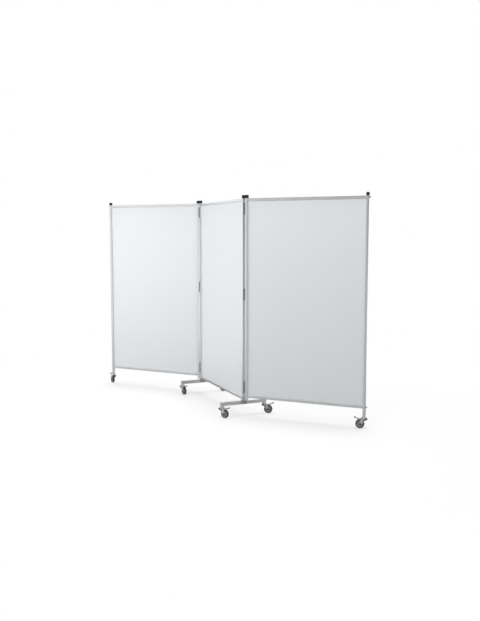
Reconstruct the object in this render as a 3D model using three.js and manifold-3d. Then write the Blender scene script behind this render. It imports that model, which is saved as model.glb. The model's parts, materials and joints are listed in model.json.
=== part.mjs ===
// A ward privacy screen: three framed panels hinged in a zigzag, standing on six braked swivel casters.
// Lengths are in millimetres and angles in degrees. X runs along the middle panel, Y through it and Z up.
// The origin is on the floor, under the centre of the whole screen as it stands.
import * as THREE from "three";
import { mergeVertices } from "three/addons/utils/BufferGeometryUtils.js";
import Module from "manifold-3d";

const wasm = await Module();
wasm.setup();

// The whole screen
const screenHeight = 1800; // floor to the top of the post caps
const panelWidth = 1000; // over both posts of one panel
const railUndersideHeight = 154; // floor to the underside of the wings' bottom rails
const leftWingAngle = 41.2; // how far each wing stands off the middle panel's line
const rightWingAngle = 43.3;
const clearance = 0.3; // between pieces that touch or slide
const cutOverrun = 1; // how far a cutter reaches past what it cuts

// Frame tubes and the sheet that they hold
const tubeSide = 22;
const tubeWall = 1.5;
const tubeCornerRadius = 2;
const sheetThickness = 4;
const sheetGrip = 5; // how far each edge of the sheet enters its tube
const hingePostUndersideHeight = 128.5; // floor to the wing posts beside the hinges

// Post caps
const capHeight = 26;
const capEdge = 2; // bevel round the top of a cap
const plugLength = 6; // of the part of a cap inside its post

// Bolts that hold the rails to the posts
const boltRadius = 4;
const boltReach = 10; // past the post, into the insert
const insertLength = 16; // threaded block in each end of a rail
const washerRadius = 7.5;
const washerThickness = 1.5;
const nutRadius = 6.8; // over the corners of the hexagon
const nutHeight = 5.5;
const nutDomeRadius = 5.2;
const buttonHeadRadius = 6.5;
const buttonHeadHeight = 2.4;

// Hinges
const jointGap = 8; // between the posts of a joint when the screen is straight
const pinOffset = 4; // hinge pin's axis past the faces of the posts
const hingeHeight = 95;
const leafThickness = 2.5;
const leafWidth = 18; // from the post's face across its end
const knuckleRadius = 4;
const hingePinRadius = 2;
const knuckleCount = 5;
const hingeEndDistance = 83; // frame's top or bottom edge to the centre of the nearest hinge
const middleHingeShare = 0.525; // of the way up from the bottom hinge to the top one

// Feet
const footSide = 30;
const footWall = 2;
const footLength = 404;
const footUndersideHeight = 95;
const footStemInset = 10; // stem's axis from the end of the foot
const saddleLength = 50; // strap over the foot, under the post
const saddleWall = 2.5;
const spigotGap = 0.5; // between the spigot in a post and the bolt above it
const middleRailGap = 4.5; // between a foot's strap and the middle panel's bottom rail
const footScrewRadius = 6; // domed screw on a foot, behind the post
const footScrewHeight = 3.5;
const footScrewPlace = 46;

// Casters: the stem and the fixed half of the swivel
const stemRadius = 6;
const stemLength = 24;
const stemSocketLength = 32; // plug that holds a stem in a post
const headRadius = 20;
const headLipRadius = 17;
const headHeight = 8;
const headLipHeight = 3;
const kingPinRadius = 4;
const rivetRadius = 7;
const rivetHeight = 2.5;

// Casters: the fork
const forkWall = 2.5;
const forkFront = 16; // top plate ahead of the stem's axis
const forkRear = 24; // and behind it
const legFront = 6; // legs ahead of the stem's axis
const forkSkirt = 15; // depth of the legs' upright front edge
const legEndRadius = 10.5;
const raceRadius = 16;
const raceHeight = 2;
const axleRadius = 4;
const axleHeadRadius = 7;
const axleHeadHeight = 4;
const pivotRadius = 2.5;
const pivotAhead = 31; // pedal's pivot ahead of the axle
const pivotAbove = 29; // and above it

// Casters: the wheel
const wheelRadius = 35;
const wheelWidth = 20;
const wheelTrail = 32; // axle behind the stem's axis
const wheelSideGap = 2.5; // between the wheel and each leg
const tyreShoulder = 4;
const tyreThickness = 7;
const rimRecess = 4;
const hubRadius = 10;
const hubOverhang = 1.5; // hub past the tyre's side
const webThickness = 6;

// Casters: the brake pedal, with places given from its pivot
const pedalThickness = 2.6;
const pedalWidth = 19; // between the fork's legs
const pedalPlateWidth = 28; // over the wheel
const pedalSleeveRadius = 4.6;
const pedalFrontReach = 24.5;
const pedalFrontRise = 9.8;
const pedalFrontPad = 12.5; // length of the plastic tread at the front
const pedalCrestBack = 15; // the strip's first bend over the wheel
const pedalCrestRise = 10.5;
const pedalMidBack = 33; // second bend, over the axle
const pedalMidRise = 14.5;
const pedalRearReach = 78;
const pedalRearRise = 24;
const pedalRearPad = 17; // length of the plastic tread at the rear
const frontPadThickness = 9;
const frontPadWidth = 37;
const armBack = 9; // arms of the front tread, from its end to behind the pivot
const armThickness = 2.8;
const armDepth = 8;
const rearPadThickness = 4.5;
const rearPadWidth = 31;
const flangeDepth = 8; // of the plate's sides, below its top
const flangeThickness = 2;
const flangeStart = 30; // behind the pivot
const flangeEnd = 58;
const shoeLength = 16;
const shoeDrop = 4.2; // brake shoe below the strip's middle

// Where each caster's wheel trails from its stem, as the screen stands
const rightFootFrontHeading = 27.7;
const rightFootRearHeading = 62;
const leftFootFrontHeading = 6.6;
const leftFootRearHeading = 25.1;
const rightWingHeading = 246.4;
const leftWingHeading = 186.4;

// Numbers of faces
const roundFaces = 12;
const smallRoundFaces = 8;
const wheelFaces = 16;
const legEndSteps = 3;
const cornerSteps = 1;
const hexagonFaces = 6;
const pinFaces = 6;

// Places that follow from the sizes
const frameTop = screenHeight - capHeight;
const postPitch = panelWidth - tubeSide;
const openingWidth = panelWidth - 2 * tubeSide;
const topRailUnderside = frameTop - tubeSide;
const boreSide = tubeSide - 2 * tubeWall;
const plugSide = boreSide - 2 * clearance;
const footTop = footUndersideHeight + footSide;
const footPostUnderside = footTop + saddleWall + clearance;
const middleRailUnderside = footTop + saddleWall + middleRailGap;
const spigotTop = middleRailUnderside + tubeSide / 2 - boltRadius - spigotGap;
const pinFromPostCentre = tubeSide / 2 + jointGap / 2;
const pinFromPanelPlane = tubeSide / 2 + pinOffset;
const jointX = postPitch / 2 + pinFromPostCentre;
const stemPlace = footLength / 2 - footStemInset;
const bottomHingeHeight = railUndersideHeight + hingeEndDistance;
const topHingeHeight = frameTop - hingeEndDistance;
const middleHingeHeight = THREE.MathUtils.lerp(bottomHingeHeight, topHingeHeight, middleHingeShare);
const hingeHeights = { bottom: bottomHingeHeight, middle: middleHingeHeight, top: topHingeHeight };

// Heights inside a caster, from the floor
const headTop = footUndersideHeight - clearance;
const headUnderside = headTop - headHeight - headLipHeight;
const forkTop = headUnderside - clearance - raceHeight;
const legInside = wheelWidth / 2 + wheelSideGap;
const legOutside = legInside + forkWall;
const pivotX = wheelTrail - pivotAhead;
const pivotZ = wheelRadius + pivotAbove;

const materials = {
  frame: new THREE.MeshStandardMaterial({ color: 0xc4c8cc, roughness: 0.35, metalness: 0.85 }),
  sheet: new THREE.MeshStandardMaterial({ color: 0xeceff2, roughness: 0.3, metalness: 0.0 }),
  plastic: new THREE.MeshStandardMaterial({ color: 0x161719, roughness: 0.45, metalness: 0.0 }),
  zinc: new THREE.MeshStandardMaterial({ color: 0xa9adb1, roughness: 0.3, metalness: 0.9 }),
  hinge: new THREE.MeshStandardMaterial({ color: 0x9b9fa4, roughness: 0.35, metalness: 0.9 }),
  tyre: new THREE.MeshStandardMaterial({ color: 0x4a4c4f, roughness: 0.7, metalness: 0.0 }),
};

// Turns a closed geometry into a solid that can be joined and cut.
function solid(geometry) {
  geometry.deleteAttribute("normal");
  geometry.deleteAttribute("uv");
  const merged = mergeVertices(geometry);
  const corners = merged.index.array;
  const faces = [];
  for (let i = 0; i < corners.length; i += 3) {
    const [a, b, c] = [corners[i], corners[i + 1], corners[i + 2]];
    if (a !== b && b !== c && c !== a) faces.push(a, b, c);
  }
  return new wasm.Manifold(
    new wasm.Mesh({
      numProp: 3,
      vertProperties: merged.attributes.position.array,
      triVerts: new Uint32Array(faces),
    }),
  );
}

// Makes the named mesh of one piece.
function piece(name, body, material) {
  const made = body.getMesh();
  const geometry = new THREE.BufferGeometry();
  geometry.setAttribute("position", new THREE.BufferAttribute(made.vertProperties, 3));
  geometry.setIndex(new THREE.BufferAttribute(made.triVerts, 1));
  const flat = geometry.toNonIndexed();
  flat.computeVertexNormals();
  const mesh = new THREE.Mesh(flat, material);
  mesh.name = name;
  return mesh;
}

function join(bodies) {
  return bodies.reduce((whole, body) => whole.add(body));
}

// A block given by its low and high corners.
function block(low, high) {
  const size = high.map((value, axis) => value - low[axis]);
  const centre = high.map((value, axis) => (value + low[axis]) / 2);
  return solid(new THREE.BoxGeometry(...size).translate(...centre));
}

// Round bars along each axis, from one end's place to the other's.
function barAlongX(radius, from, to, y, z, faces) {
  const bar = new THREE.CylinderGeometry(radius, radius, to - from, faces);
  return solid(bar.rotateZ(Math.PI / 2).translate((from + to) / 2, y, z));
}

function barAlongY(radius, x, from, to, z, faces) {
  const bar = new THREE.CylinderGeometry(radius, radius, to - from, faces);
  return solid(bar.translate(x, (from + to) / 2, z));
}

function barAlongZ(radius, x, y, from, to, faces) {
  const bar = new THREE.CylinderGeometry(radius, radius, to - from, faces);
  return solid(bar.rotateX(Math.PI / 2).translate(x, y, (from + to) / 2));
}

function roundedSquare(side, radius) {
  const corner = side / 2 - radius;
  const shape = new THREE.Shape();
  shape.absarc(corner, corner, radius, 0, Math.PI / 2);
  shape.absarc(-corner, corner, radius, Math.PI / 2, Math.PI);
  shape.absarc(-corner, -corner, radius, Math.PI, 1.5 * Math.PI);
  shape.absarc(corner, -corner, radius, 1.5 * Math.PI, 2 * Math.PI);
  return shape;
}

// A square tube, open at both ends, standing on the origin.
function squareTube(side, wall, length) {
  const outside = new THREE.ExtrudeGeometry(roundedSquare(side, tubeCornerRadius), {
    depth: length,
    bevelEnabled: false,
    curveSegments: cornerSteps,
  });
  const inside = side / 2 - wall;
  const bore = block([-inside, -inside, -cutOverrun], [inside, inside, length + cutOverrun]);
  return solid(outside).subtract(bore);
}

// Domed nut and washer on the outer side of a post.
function domedNut(face, z) {
  const washer = barAlongX(washerRadius, face, face + washerThickness, 0, z, roundFaces);
  const nutFace = face + washerThickness;
  const hexagon = barAlongX(nutRadius, nutFace - clearance, nutFace + nutHeight, 0, z, hexagonFaces);
  const dome = new THREE.SphereGeometry(nutDomeRadius, smallRoundFaces, smallRoundFaces / 2);
  return join([washer, hexagon, solid(dome.translate(nutFace + nutHeight, 0, z))]);
}

// A post standing with its centre on the origin. Its slot faces -X, and its bolts come in from +X.
function postBody(underside, atJoint, railUnderside) {
  const tube = squareTube(tubeSide, tubeWall, frameTop - underside).translate([0, 0, underside]);
  const slotHalf = sheetThickness / 2 + clearance;
  const slot = block(
    [-tubeSide / 2 - cutOverrun, -slotHalf, railUnderside + tubeSide - sheetGrip - clearance],
    [0, slotHalf, topRailUnderside + sheetGrip + clearance],
  );
  const face = tubeSide / 2;
  let post = tube.subtract(slot);
  for (const z of [railUnderside + tubeSide / 2, frameTop - tubeSide / 2]) {
    const shank = barAlongX(boltRadius, -face - boltReach, face, 0, z, smallRoundFaces);
    const head = atJoint
      ? barAlongX(buttonHeadRadius, face - clearance, face + buttonHeadHeight, 0, z, smallRoundFaces)
      : domedNut(face, z);
    post = join([post, shank, head]);
  }
  return post;
}

// A rail between the posts, its slot open upwards. A drilled insert fills each end.
function railBody() {
  const length = openingWidth - 2 * clearance;
  const tube = squareTube(tubeSide, tubeWall, length).rotate([0, 90, 0]).translate([-length / 2, 0, 0]);
  const half = tubeSide / 2 - tubeWall / 2;
  const inserts = [-1, 1].map((side) => {
    const ends = [(side * length) / 2, side * (length / 2 - insertLength)].sort((a, b) => a - b);
    return block([ends[0], -half, -half], [ends[1], half, half]);
  });
  const slotHalf = sheetThickness / 2 + clearance;
  const slot = block(
    [-length, -slotHalf, tubeSide / 2 - sheetGrip - clearance],
    [length, slotHalf, tubeSide / 2 + cutOverrun],
  );
  const hole = barAlongX(boltRadius + clearance, -length, length, 0, 0, smallRoundFaces);
  return join([tube, ...inserts]).subtract(slot).subtract(hole);
}

// Cap block over a post's end, with its plug down inside.
function capBody() {
  const half = tubeSide / 2;
  const base = frameTop + clearance;
  const bevelled = new THREE.ExtrudeGeometry(roundedSquare(tubeSide - 2 * capEdge, tubeCornerRadius), {
    depth: capHeight - clearance - 2 * capEdge,
    bevelThickness: capEdge,
    bevelSize: capEdge,
    bevelSegments: 1,
    curveSegments: cornerSteps,
  });
  const top = solid(bevelled.translate(0, 0, base + capEdge));
  const skirt = block([-half, -half, base], [half, half, base + capEdge * 2]);
  const plug = block(
    [-plugSide / 2, -plugSide / 2, frameTop - plugLength],
    [plugSide / 2, plugSide / 2, base + capEdge],
  );
  return join([top, skirt, plug]);
}

function sheetBody(railUnderside) {
  const width = openingWidth + 2 * sheetGrip;
  const half = sheetThickness / 2;
  return block(
    [-width / 2, -half, railUnderside + tubeSide - sheetGrip],
    [width / 2, half, topRailUnderside + sheetGrip],
  );
}

// The frame of one panel, its centre on the origin. The undersides are those of the -X and +X posts.
function panelFrame(name, railUnderside, undersides, atJoints) {
  const group = new THREE.Group();
  ["left", "right"].forEach((sideName, i) => {
    const side = i === 0 ? -1 : 1;
    const body = postBody(undersides[i], atJoints[i], railUnderside);
    const post = piece(`${name}_${sideName}_post`, body, materials.frame);
    post.position.x = (side * postPitch) / 2;
    if (side < 0) post.rotation.z = Math.PI;
    const cap = piece(`${name}_${sideName}_cap`, capBody(), materials.plastic);
    cap.position.x = post.position.x;
    group.add(post, cap);
  });
  const bottomRail = piece(`${name}_bottom_rail`, railBody(), materials.frame);
  bottomRail.position.z = railUnderside + tubeSide / 2;
  const topRail = piece(`${name}_top_rail`, railBody(), materials.frame);
  topRail.position.z = frameTop - tubeSide / 2;
  topRail.rotation.x = Math.PI;
  const sheet = piece(`${name}_infill_sheet`, sheetBody(railUnderside), materials.sheet);
  group.add(bottomRail, topRail, sheet);
  return group;
}

// Heights of the gaps between knuckles split the hinge into equal lengths.
function knuckleSpan(index) {
  const pitch = hingeHeight / knuckleCount;
  const low = -hingeHeight / 2 + index * pitch;
  return [low + clearance / 2, low + pitch - clearance / 2];
}

// A hinge leaf against the end of a post, with the pin's axis on the origin. Leaves lie at -X and +X of
// the pin: the first carries the odd knuckles and the pin, the second the knuckles between them.
function leafBody(side, carriesPin) {
  const face = side * (jointGap / 2 - clearance);
  const inner = face - side * leafThickness;
  const low = -pinOffset - leafWidth;
  const plate = block(
    [Math.min(face, inner), low, -hingeHeight / 2],
    [Math.max(face, inner), 0, hingeHeight / 2],
  );
  let leaf = plate;
  const own = [];
  const room = (knuckleRadius + clearance) / Math.cos(Math.PI / smallRoundFaces);
  for (let i = 0; i < knuckleCount; i++) {
    const [from, to] = knuckleSpan(i);
    const mine = (i % 2 === 0) === carriesPin;
    if (mine) {
      own.push(barAlongZ(knuckleRadius, 0, 0, from, to, smallRoundFaces));
    } else {
      leaf = leaf.subtract(barAlongZ(room, 0, 0, from - clearance, to + clearance, smallRoundFaces));
    }
  }
  leaf = join([leaf, ...own]);
  const ends = [-hingeHeight / 2, hingeHeight / 2];
  if (carriesPin) return leaf.add(barAlongZ(hingePinRadius, 0, 0, ...ends, pinFaces));
  const bore = (hingePinRadius + clearance) / Math.cos(Math.PI / pinFaces);
  return leaf.subtract(barAlongZ(bore, 0, 0, ends[0] - cutOverrun, ends[1] + cutOverrun, pinFaces));
}

// The three leaves on one side of a joint.
function leaves(name, side, carriesPin) {
  const group = new THREE.Group();
  for (const [place, height] of Object.entries(hingeHeights)) {
    const leaf = piece(`${name}_${place}_hinge_leaf`, leafBody(side, carriesPin), materials.hinge);
    leaf.position.z = height;
    group.add(leaf);
  }
  return group;
}

// A foot: a square tube along Y with closed ends, a strap over it and a spigot for the post.
function footBody() {
  const half = footSide / 2;
  const tube = squareTube(footSide, footWall, footLength).rotate([-90, 0, 0]);
  const bar = tube.translate([0, -footLength / 2, footUndersideHeight + half]);
  const inside = half - footWall / 2;
  const plates = [-1, 1].map((side) => {
    const ends = [(side * footLength) / 2, side * (footLength / 2 - footWall)].sort((a, b) => a - b);
    return block(
      [-inside, ends[0], footUndersideHeight + footWall / 2],
      [inside, ends[1], footTop - footWall / 2],
    );
  });
  const outer = half + saddleWall;
  const strap = block(
    [-outer, -saddleLength / 2, footUndersideHeight + footWall],
    [outer, saddleLength / 2, footTop + saddleWall],
  ).subtract(
    block(
      [-half + footWall / 2, -saddleLength, footUndersideHeight - footSide],
      [half - footWall / 2, saddleLength, footTop - footWall / 2],
    ),
  );
  const spigot = block(
    [-plugSide / 2, -plugSide / 2, footTop],
    [plugSide / 2, plugSide / 2, spigotTop],
  );
  const holes = [-stemPlace, stemPlace].map((y) => {
    const low = footUndersideHeight - cutOverrun;
    return barAlongZ(stemRadius + clearance, 0, y, low, low + 2 * cutOverrun + footWall, roundFaces);
  });
  const dome = new THREE.SphereGeometry(footScrewRadius, smallRoundFaces, smallRoundFaces / 2);
  dome.rotateX(Math.PI / 2).scale(1, 1, footScrewHeight / footScrewRadius);
  const screw = solid(dome.translate(0, footScrewPlace, footTop - footWall / 2));
  return holes.reduce((foot, hole) => foot.subtract(hole), join([bar, ...plates, strap, spigot, screw]));
}

// A solid turned about Z from points of radius and height, listed from the bottom of the outside up.
function turned(points, faces) {
  const profile = points.map(([radius, height]) => new THREE.Vector2(radius, height));
  return solid(new THREE.LatheGeometry(profile, faces).rotateX(Math.PI / 2));
}

// Fixed half of a caster's swivel: stem, upper race, king pin and the rivet head that holds the fork.
function headBody(inPost) {
  const rivetTop = forkTop - forkWall - clearance;
  const round = turned(
    [
      [0, rivetTop - rivetHeight],
      [rivetRadius, rivetTop - rivetHeight],
      [rivetRadius, rivetTop],
      [kingPinRadius, rivetTop],
      [kingPinRadius, headUnderside],
      [headRadius, headUnderside],
      [headRadius, headUnderside + headLipHeight],
      [headLipRadius, headTop],
      [0, headTop],
    ],
    roundFaces,
  );
  const stemBase = headTop - headLipHeight;
  if (!inPost) {
    return round.add(barAlongZ(stemRadius, 0, 0, stemBase, headTop + stemLength, roundFaces));
  }
  const half = plugSide / 2;
  return round.add(block([-half, -half, stemBase], [half, half, headTop + stemSocketLength]));
}

// The angle on a circle where a line from a point outside just touches it.
function touchAngle(point, centre, radius, turn) {
  const across = point[0] - centre[0];
  const up = point[1] - centre[1];
  return Math.atan2(up, across) + turn * Math.acos(radius / Math.hypot(across, up));
}

// Outline of a fork's leg, seen from the side with the wheel trailing to +X.
function legOutline() {
  const axle = [wheelTrail, wheelRadius];
  const front = [-legFront, forkTop - forkSkirt];
  const rear = [forkRear, forkTop - forkWall];
  const shape = new THREE.Shape();
  shape.moveTo(-legFront, forkTop);
  shape.lineTo(...front);
  const from = touchAngle(front, axle, legEndRadius, 1);
  const to = touchAngle(rear, axle, legEndRadius, -1) + 2 * Math.PI;
  shape.absarc(...axle, legEndRadius, from, to);
  shape.lineTo(...rear);
  shape.lineTo(forkRear, forkTop);
  shape.closePath();
  return shape;
}

// The fork: a bent plate with two legs, the lower race, the axle and the pedal's pivot pin.
function forkBody() {
  const legs = [-legOutside, legInside].map((y) => {
    const leg = new THREE.ExtrudeGeometry(legOutline(), {
      depth: forkWall,
      bevelEnabled: false,
      curveSegments: legEndSteps,
    });
    return solid(leg.rotateX(Math.PI / 2).translate(0, y + forkWall, 0));
  });
  const plate = block([-forkFront, -legOutside, forkTop - forkWall], [forkRear, legOutside, forkTop]);
  const race = barAlongZ(raceRadius, 0, 0, forkTop - forkWall / 2, forkTop + raceHeight, roundFaces);
  const hole = barAlongZ(
    kingPinRadius + clearance,
    0,
    0,
    forkTop - forkWall - cutOverrun,
    forkTop + raceHeight + cutOverrun,
    roundFaces,
  );
  const axleEnd = legOutside + axleHeadHeight;
  const axle = barAlongY(axleRadius, wheelTrail, -axleEnd, axleEnd, wheelRadius, smallRoundFaces);
  const heads = [-axleEnd, legOutside - forkWall / 2].map((from) =>
    barAlongY(axleHeadRadius, wheelTrail, from, from + axleHeadHeight + forkWall / 2, wheelRadius, hexagonFaces),
  );
  const pivotEnd = frontPadWidth / 2 + forkWall / 2;
  const pivot = barAlongY(pivotRadius, pivotX, -pivotEnd, pivotEnd, pivotZ, smallRoundFaces);
  return join([...legs, plate, race]).subtract(hole).add(join([axle, ...heads, pivot]));
}

// The wheel, with its axle through the origin along Y.
function wheelBody() {
  const half = wheelWidth / 2;
  const bore = axleRadius + clearance;
  const rim = wheelRadius - tyreThickness;
  const hubEnd = half + hubOverhang;
  const side = [
    [hubRadius, hubEnd],
    [hubRadius, webThickness / 2],
    [rim - rimRecess, webThickness / 2],
    [rim, half],
    [wheelRadius - tyreShoulder, half],
    [wheelRadius, half - tyreShoulder],
  ];
  const lower = side.map(([radius, y]) => [radius, -y]);
  const upper = side.slice().reverse();
  const ring = [[bore, -hubEnd], ...lower, ...upper, [bore, hubEnd], [bore, -hubEnd]];
  const profile = ring.map(([radius, y]) => new THREE.Vector2(radius, y));
  return solid(new THREE.LatheGeometry(profile, wheelFaces));
}

// A flat bar between two places in the caster's side view, with square ends.
function strip(from, to, thickness, width) {
  const length = Math.hypot(to[0] - from[0], to[1] - from[1]);
  const bar = new THREE.BoxGeometry(length, width, thickness);
  bar.rotateY(-Math.atan2(to[1] - from[1], to[0] - from[0]));
  return solid(bar.translate((from[0] + to[0]) / 2, 0, (from[1] + to[1]) / 2));
}

// The place at a distance from the end of a line, towards its start.
function before(from, to, distance) {
  const share = distance / Math.hypot(to[0] - from[0], to[1] - from[1]);
  return [to[0] + (from[0] - to[0]) * share, to[1] + (from[1] - to[1]) * share];
}

// The brake pedal: a bent strip on a sleeve, with a plastic tread at each end and a shoe over the wheel.
// The front tread has two arms that run back outside the fork's legs to the pivot pin.
function pedalBody() {
  const pivot = [pivotX, pivotZ];
  const front = [pivotX - pedalFrontReach, pivotZ + pedalFrontRise];
  const crest = [pivotX + pedalCrestBack, pivotZ + pedalCrestRise];
  const mid = [pivotX + pedalMidBack, pivotZ + pedalMidRise];
  const rear = [pivotX + pedalRearReach, pivotZ + pedalRearRise];
  const half = pedalWidth / 2;
  const plateHalf = pedalPlateWidth / 2;
  const strips = [
    strip(pivot, crest, pedalThickness, pedalWidth),
    strip(crest, mid, pedalThickness, pedalWidth),
    strip(mid, rear, pedalThickness, pedalPlateWidth),
  ];
  const knees = [crest, mid].map(([x, z]) =>
    barAlongY(pedalThickness / 2, x, -half, half, z, smallRoundFaces),
  );
  const sleeve = barAlongY(pedalSleeveRadius, pivotX, -half, half, pivotZ, smallRoundFaces);
  const shoe = block(
    [mid[0] - shoeLength / 2, -half, mid[1] - shoeDrop],
    [mid[0] + shoeLength / 2, half, mid[1]],
  );
  const slope = (rear[1] - mid[1]) / (rear[0] - mid[0]);
  const corners = [
    [flangeStart, 0],
    [flangeStart, -flangeDepth],
    [flangeEnd, -flangeDepth],
    [flangeEnd + flangeDepth, 0],
  ];
  const outline = corners.map(([back, down]) => {
    const x = pivotX + back;
    return new THREE.Vector2(x, mid[1] + (x - mid[0]) * slope + down);
  });
  const sides = new THREE.Shape(outline);
  const flanges = [-plateHalf, plateHalf - flangeThickness].map((y) => {
    const flange = new THREE.ExtrudeGeometry(sides, { depth: flangeThickness, bevelEnabled: false });
    return solid(flange.rotateX(Math.PI / 2).translate(0, y + flangeThickness, 0));
  });
  const treads = [
    strip(before(pivot, front, pedalFrontPad), front, frontPadThickness, frontPadWidth),
    strip(before(mid, rear, pedalRearPad), rear, rearPadThickness, rearPadWidth),
  ];
  const armPlace = frontPadWidth / 2 - armThickness / 2;
  const armEnd = before(front, pivot, -armBack);
  const arms = [-armPlace, armPlace].map((y) =>
    strip(armEnd, before(pivot, front, pedalFrontPad / 2), armDepth, armThickness).translate([0, y, 0]),
  );
  const lever = strip(pivot, front, pedalThickness, pedalWidth);
  const boreEnd = frontPadWidth / 2 + cutOverrun;
  const bore = barAlongY(pivotRadius + clearance, pivotX, -boreEnd, boreEnd, pivotZ, smallRoundFaces);
  return join([lever, ...strips, ...knees, sleeve, shoe, ...flanges, ...treads, ...arms]).subtract(bore);
}

// A whole caster under its carrier, with the stem's axis on the origin and the wheel trailing to +X.
function caster(name, inPost) {
  const group = new THREE.Group();
  const wheel = piece(`${name}_wheel`, wheelBody(), materials.tyre);
  wheel.position.set(wheelTrail, 0, wheelRadius);
  group.add(
    piece(`${name}_head`, headBody(inPost), materials.zinc),
    piece(`${name}_fork`, forkBody(), materials.zinc),
    wheel,
    piece(`${name}_pedal`, pedalBody(), materials.zinc),
  );
  return group;
}

// Places a caster at a stem and turns all of it but the head to its heading.
function placeCaster(parent, name, x, y, heading, inPost) {
  const group = caster(name, inPost);
  group.position.set(x, y, 0);
  group.rotation.z = THREE.MathUtils.degToRad(heading);
  const head = group.children[0];
  head.rotation.z = -group.rotation.z;
  parent.add(group);
}

// A wing hangs on its hinge pins: its group turns about them, and its panel lies beside them.
function wing(name, angle, turn, casterHeading) {
  const group = new THREE.Group();
  const undersides = [hingePostUndersideHeight, footUndersideHeight];
  const frame = panelFrame(name, railUndersideHeight, undersides, [true, false]);
  frame.position.set(pinFromPostCentre + postPitch / 2, -pinFromPanelPlane, 0);
  const facing = turn + angle;
  placeCaster(
    group,
    `${name}_caster`,
    pinFromPostCentre + postPitch,
    -pinFromPanelPlane,
    casterHeading - facing,
    true,
  );
  group.add(frame, leaves(name, 1, false));
  group.rotation.z = THREE.MathUtils.degToRad(facing);
  return group;
}

function middlePanel() {
  const undersides = [footPostUnderside, footPostUnderside];
  const group = panelFrame("middle", middleRailUnderside, undersides, [true, true]);
  const rightLeaves = leaves("middle_right", -1, true);
  rightLeaves.position.set(jointX, pinFromPanelPlane, 0);
  const leftLeaves = leaves("middle_left", -1, true);
  leftLeaves.position.set(-jointX, -pinFromPanelPlane, 0);
  leftLeaves.rotation.z = Math.PI;
  group.add(rightLeaves, leftLeaves);
  return group;
}

function foot(name, x, headings) {
  const group = new THREE.Group();
  group.add(piece(`${name}_bar`, footBody(), materials.frame));
  placeCaster(group, `${name}_front_caster`, 0, -stemPlace, headings[0], false);
  placeCaster(group, `${name}_rear_caster`, 0, stemPlace, headings[1], false);
  group.position.x = x;
  return group;
}

function buildScreen() {
  const screen = new THREE.Group();
  const rightWing = wing("right_wing", rightWingAngle, 0, rightWingHeading);
  rightWing.position.set(jointX, pinFromPanelPlane, 0);
  const leftWing = wing("left_wing", leftWingAngle, 180, leftWingHeading);
  leftWing.position.set(-jointX, -pinFromPanelPlane, 0);
  screen.add(
    middlePanel(),
    foot("right_foot", postPitch / 2, [rightFootFrontHeading, rightFootRearHeading]),
    foot("left_foot", -postPitch / 2, [leftFootFrontHeading, leftFootRearHeading]),
    rightWing,
    leftWing,
  );
  screen.updateMatrixWorld(true);
  const centre = new THREE.Box3().setFromObject(screen, true).getCenter(new THREE.Vector3());
  screen.position.set(-centre.x, -centre.y, 0);
  return screen;
}

export default buildScreen();
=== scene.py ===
"""Looks of a ward privacy screen: three framed panels, two cross feet and six braked casters."""

import json
import logging
import math
from collections.abc import Iterable
from dataclasses import dataclass
from enum import Enum

import bmesh
import bpy
from mathutils import Matrix, Vector

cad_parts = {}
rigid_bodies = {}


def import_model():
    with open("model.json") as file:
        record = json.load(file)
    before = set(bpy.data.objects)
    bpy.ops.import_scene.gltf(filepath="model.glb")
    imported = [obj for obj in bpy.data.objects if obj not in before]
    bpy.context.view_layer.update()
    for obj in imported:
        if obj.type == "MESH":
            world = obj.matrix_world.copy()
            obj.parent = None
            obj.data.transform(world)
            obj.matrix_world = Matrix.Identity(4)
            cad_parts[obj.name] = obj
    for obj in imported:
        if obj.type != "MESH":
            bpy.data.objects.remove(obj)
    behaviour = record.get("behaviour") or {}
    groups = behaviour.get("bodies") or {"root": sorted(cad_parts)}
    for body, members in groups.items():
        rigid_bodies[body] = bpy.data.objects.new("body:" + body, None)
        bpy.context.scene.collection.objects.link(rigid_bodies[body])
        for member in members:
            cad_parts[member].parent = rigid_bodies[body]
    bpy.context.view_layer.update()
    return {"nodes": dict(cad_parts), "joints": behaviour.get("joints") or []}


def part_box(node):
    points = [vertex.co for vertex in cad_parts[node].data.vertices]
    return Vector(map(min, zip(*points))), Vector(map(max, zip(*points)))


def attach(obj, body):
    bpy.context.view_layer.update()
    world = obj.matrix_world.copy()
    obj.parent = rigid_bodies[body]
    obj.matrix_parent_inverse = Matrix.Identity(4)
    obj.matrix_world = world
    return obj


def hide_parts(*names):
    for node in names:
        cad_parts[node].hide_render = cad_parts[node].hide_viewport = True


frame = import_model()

log = logging.getLogger("screen")

MM = 0.001
SMOOTH_ANGLE = math.radians(35)
ROUND = 32
FINE_ROUND = 48
TYRE_ROUND = 64
GAP = 0.3 * MM  # between pieces that touch or slide
OVERLAP = 0.1 * MM  # between solids that are one piece
NUT_EDGE = 0.35 * MM  # rounding of a hexagon's edges
CLOSE = 1e-6  # points nearer than this are one point

# Shares of a noise texture's range
NOISE_SPAN = (0.3, 0.7)
DUST_SPAN = (0.38, 0.68)
DUST_FINENESS = 160.0
DUST_ROUGHNESS = 0.9
ROUGHNESS_SPREAD = 0.12
BUMP_DISTANCE = 0.0004

# Two numbers, such as a corner of an outline, and three, such as a place or a colour
Point = tuple[float, float]
Spot = tuple[float, float, float]
Profile = tuple[Point, ...]


class Side(Enum):
    """The two sides of a panel or a pin, as ways along X."""

    LEFT = -1
    RIGHT = 1


class Mixture(Enum):
    """What a Mix node mixes."""

    NUMBER = "FLOAT"
    COLOUR = "RGBA"


class Solids(Enum):
    """What a boolean step does with a solid and its tools."""

    JOIN = "UNION"
    CUT = "DIFFERENCE"


# Finishes


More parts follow.
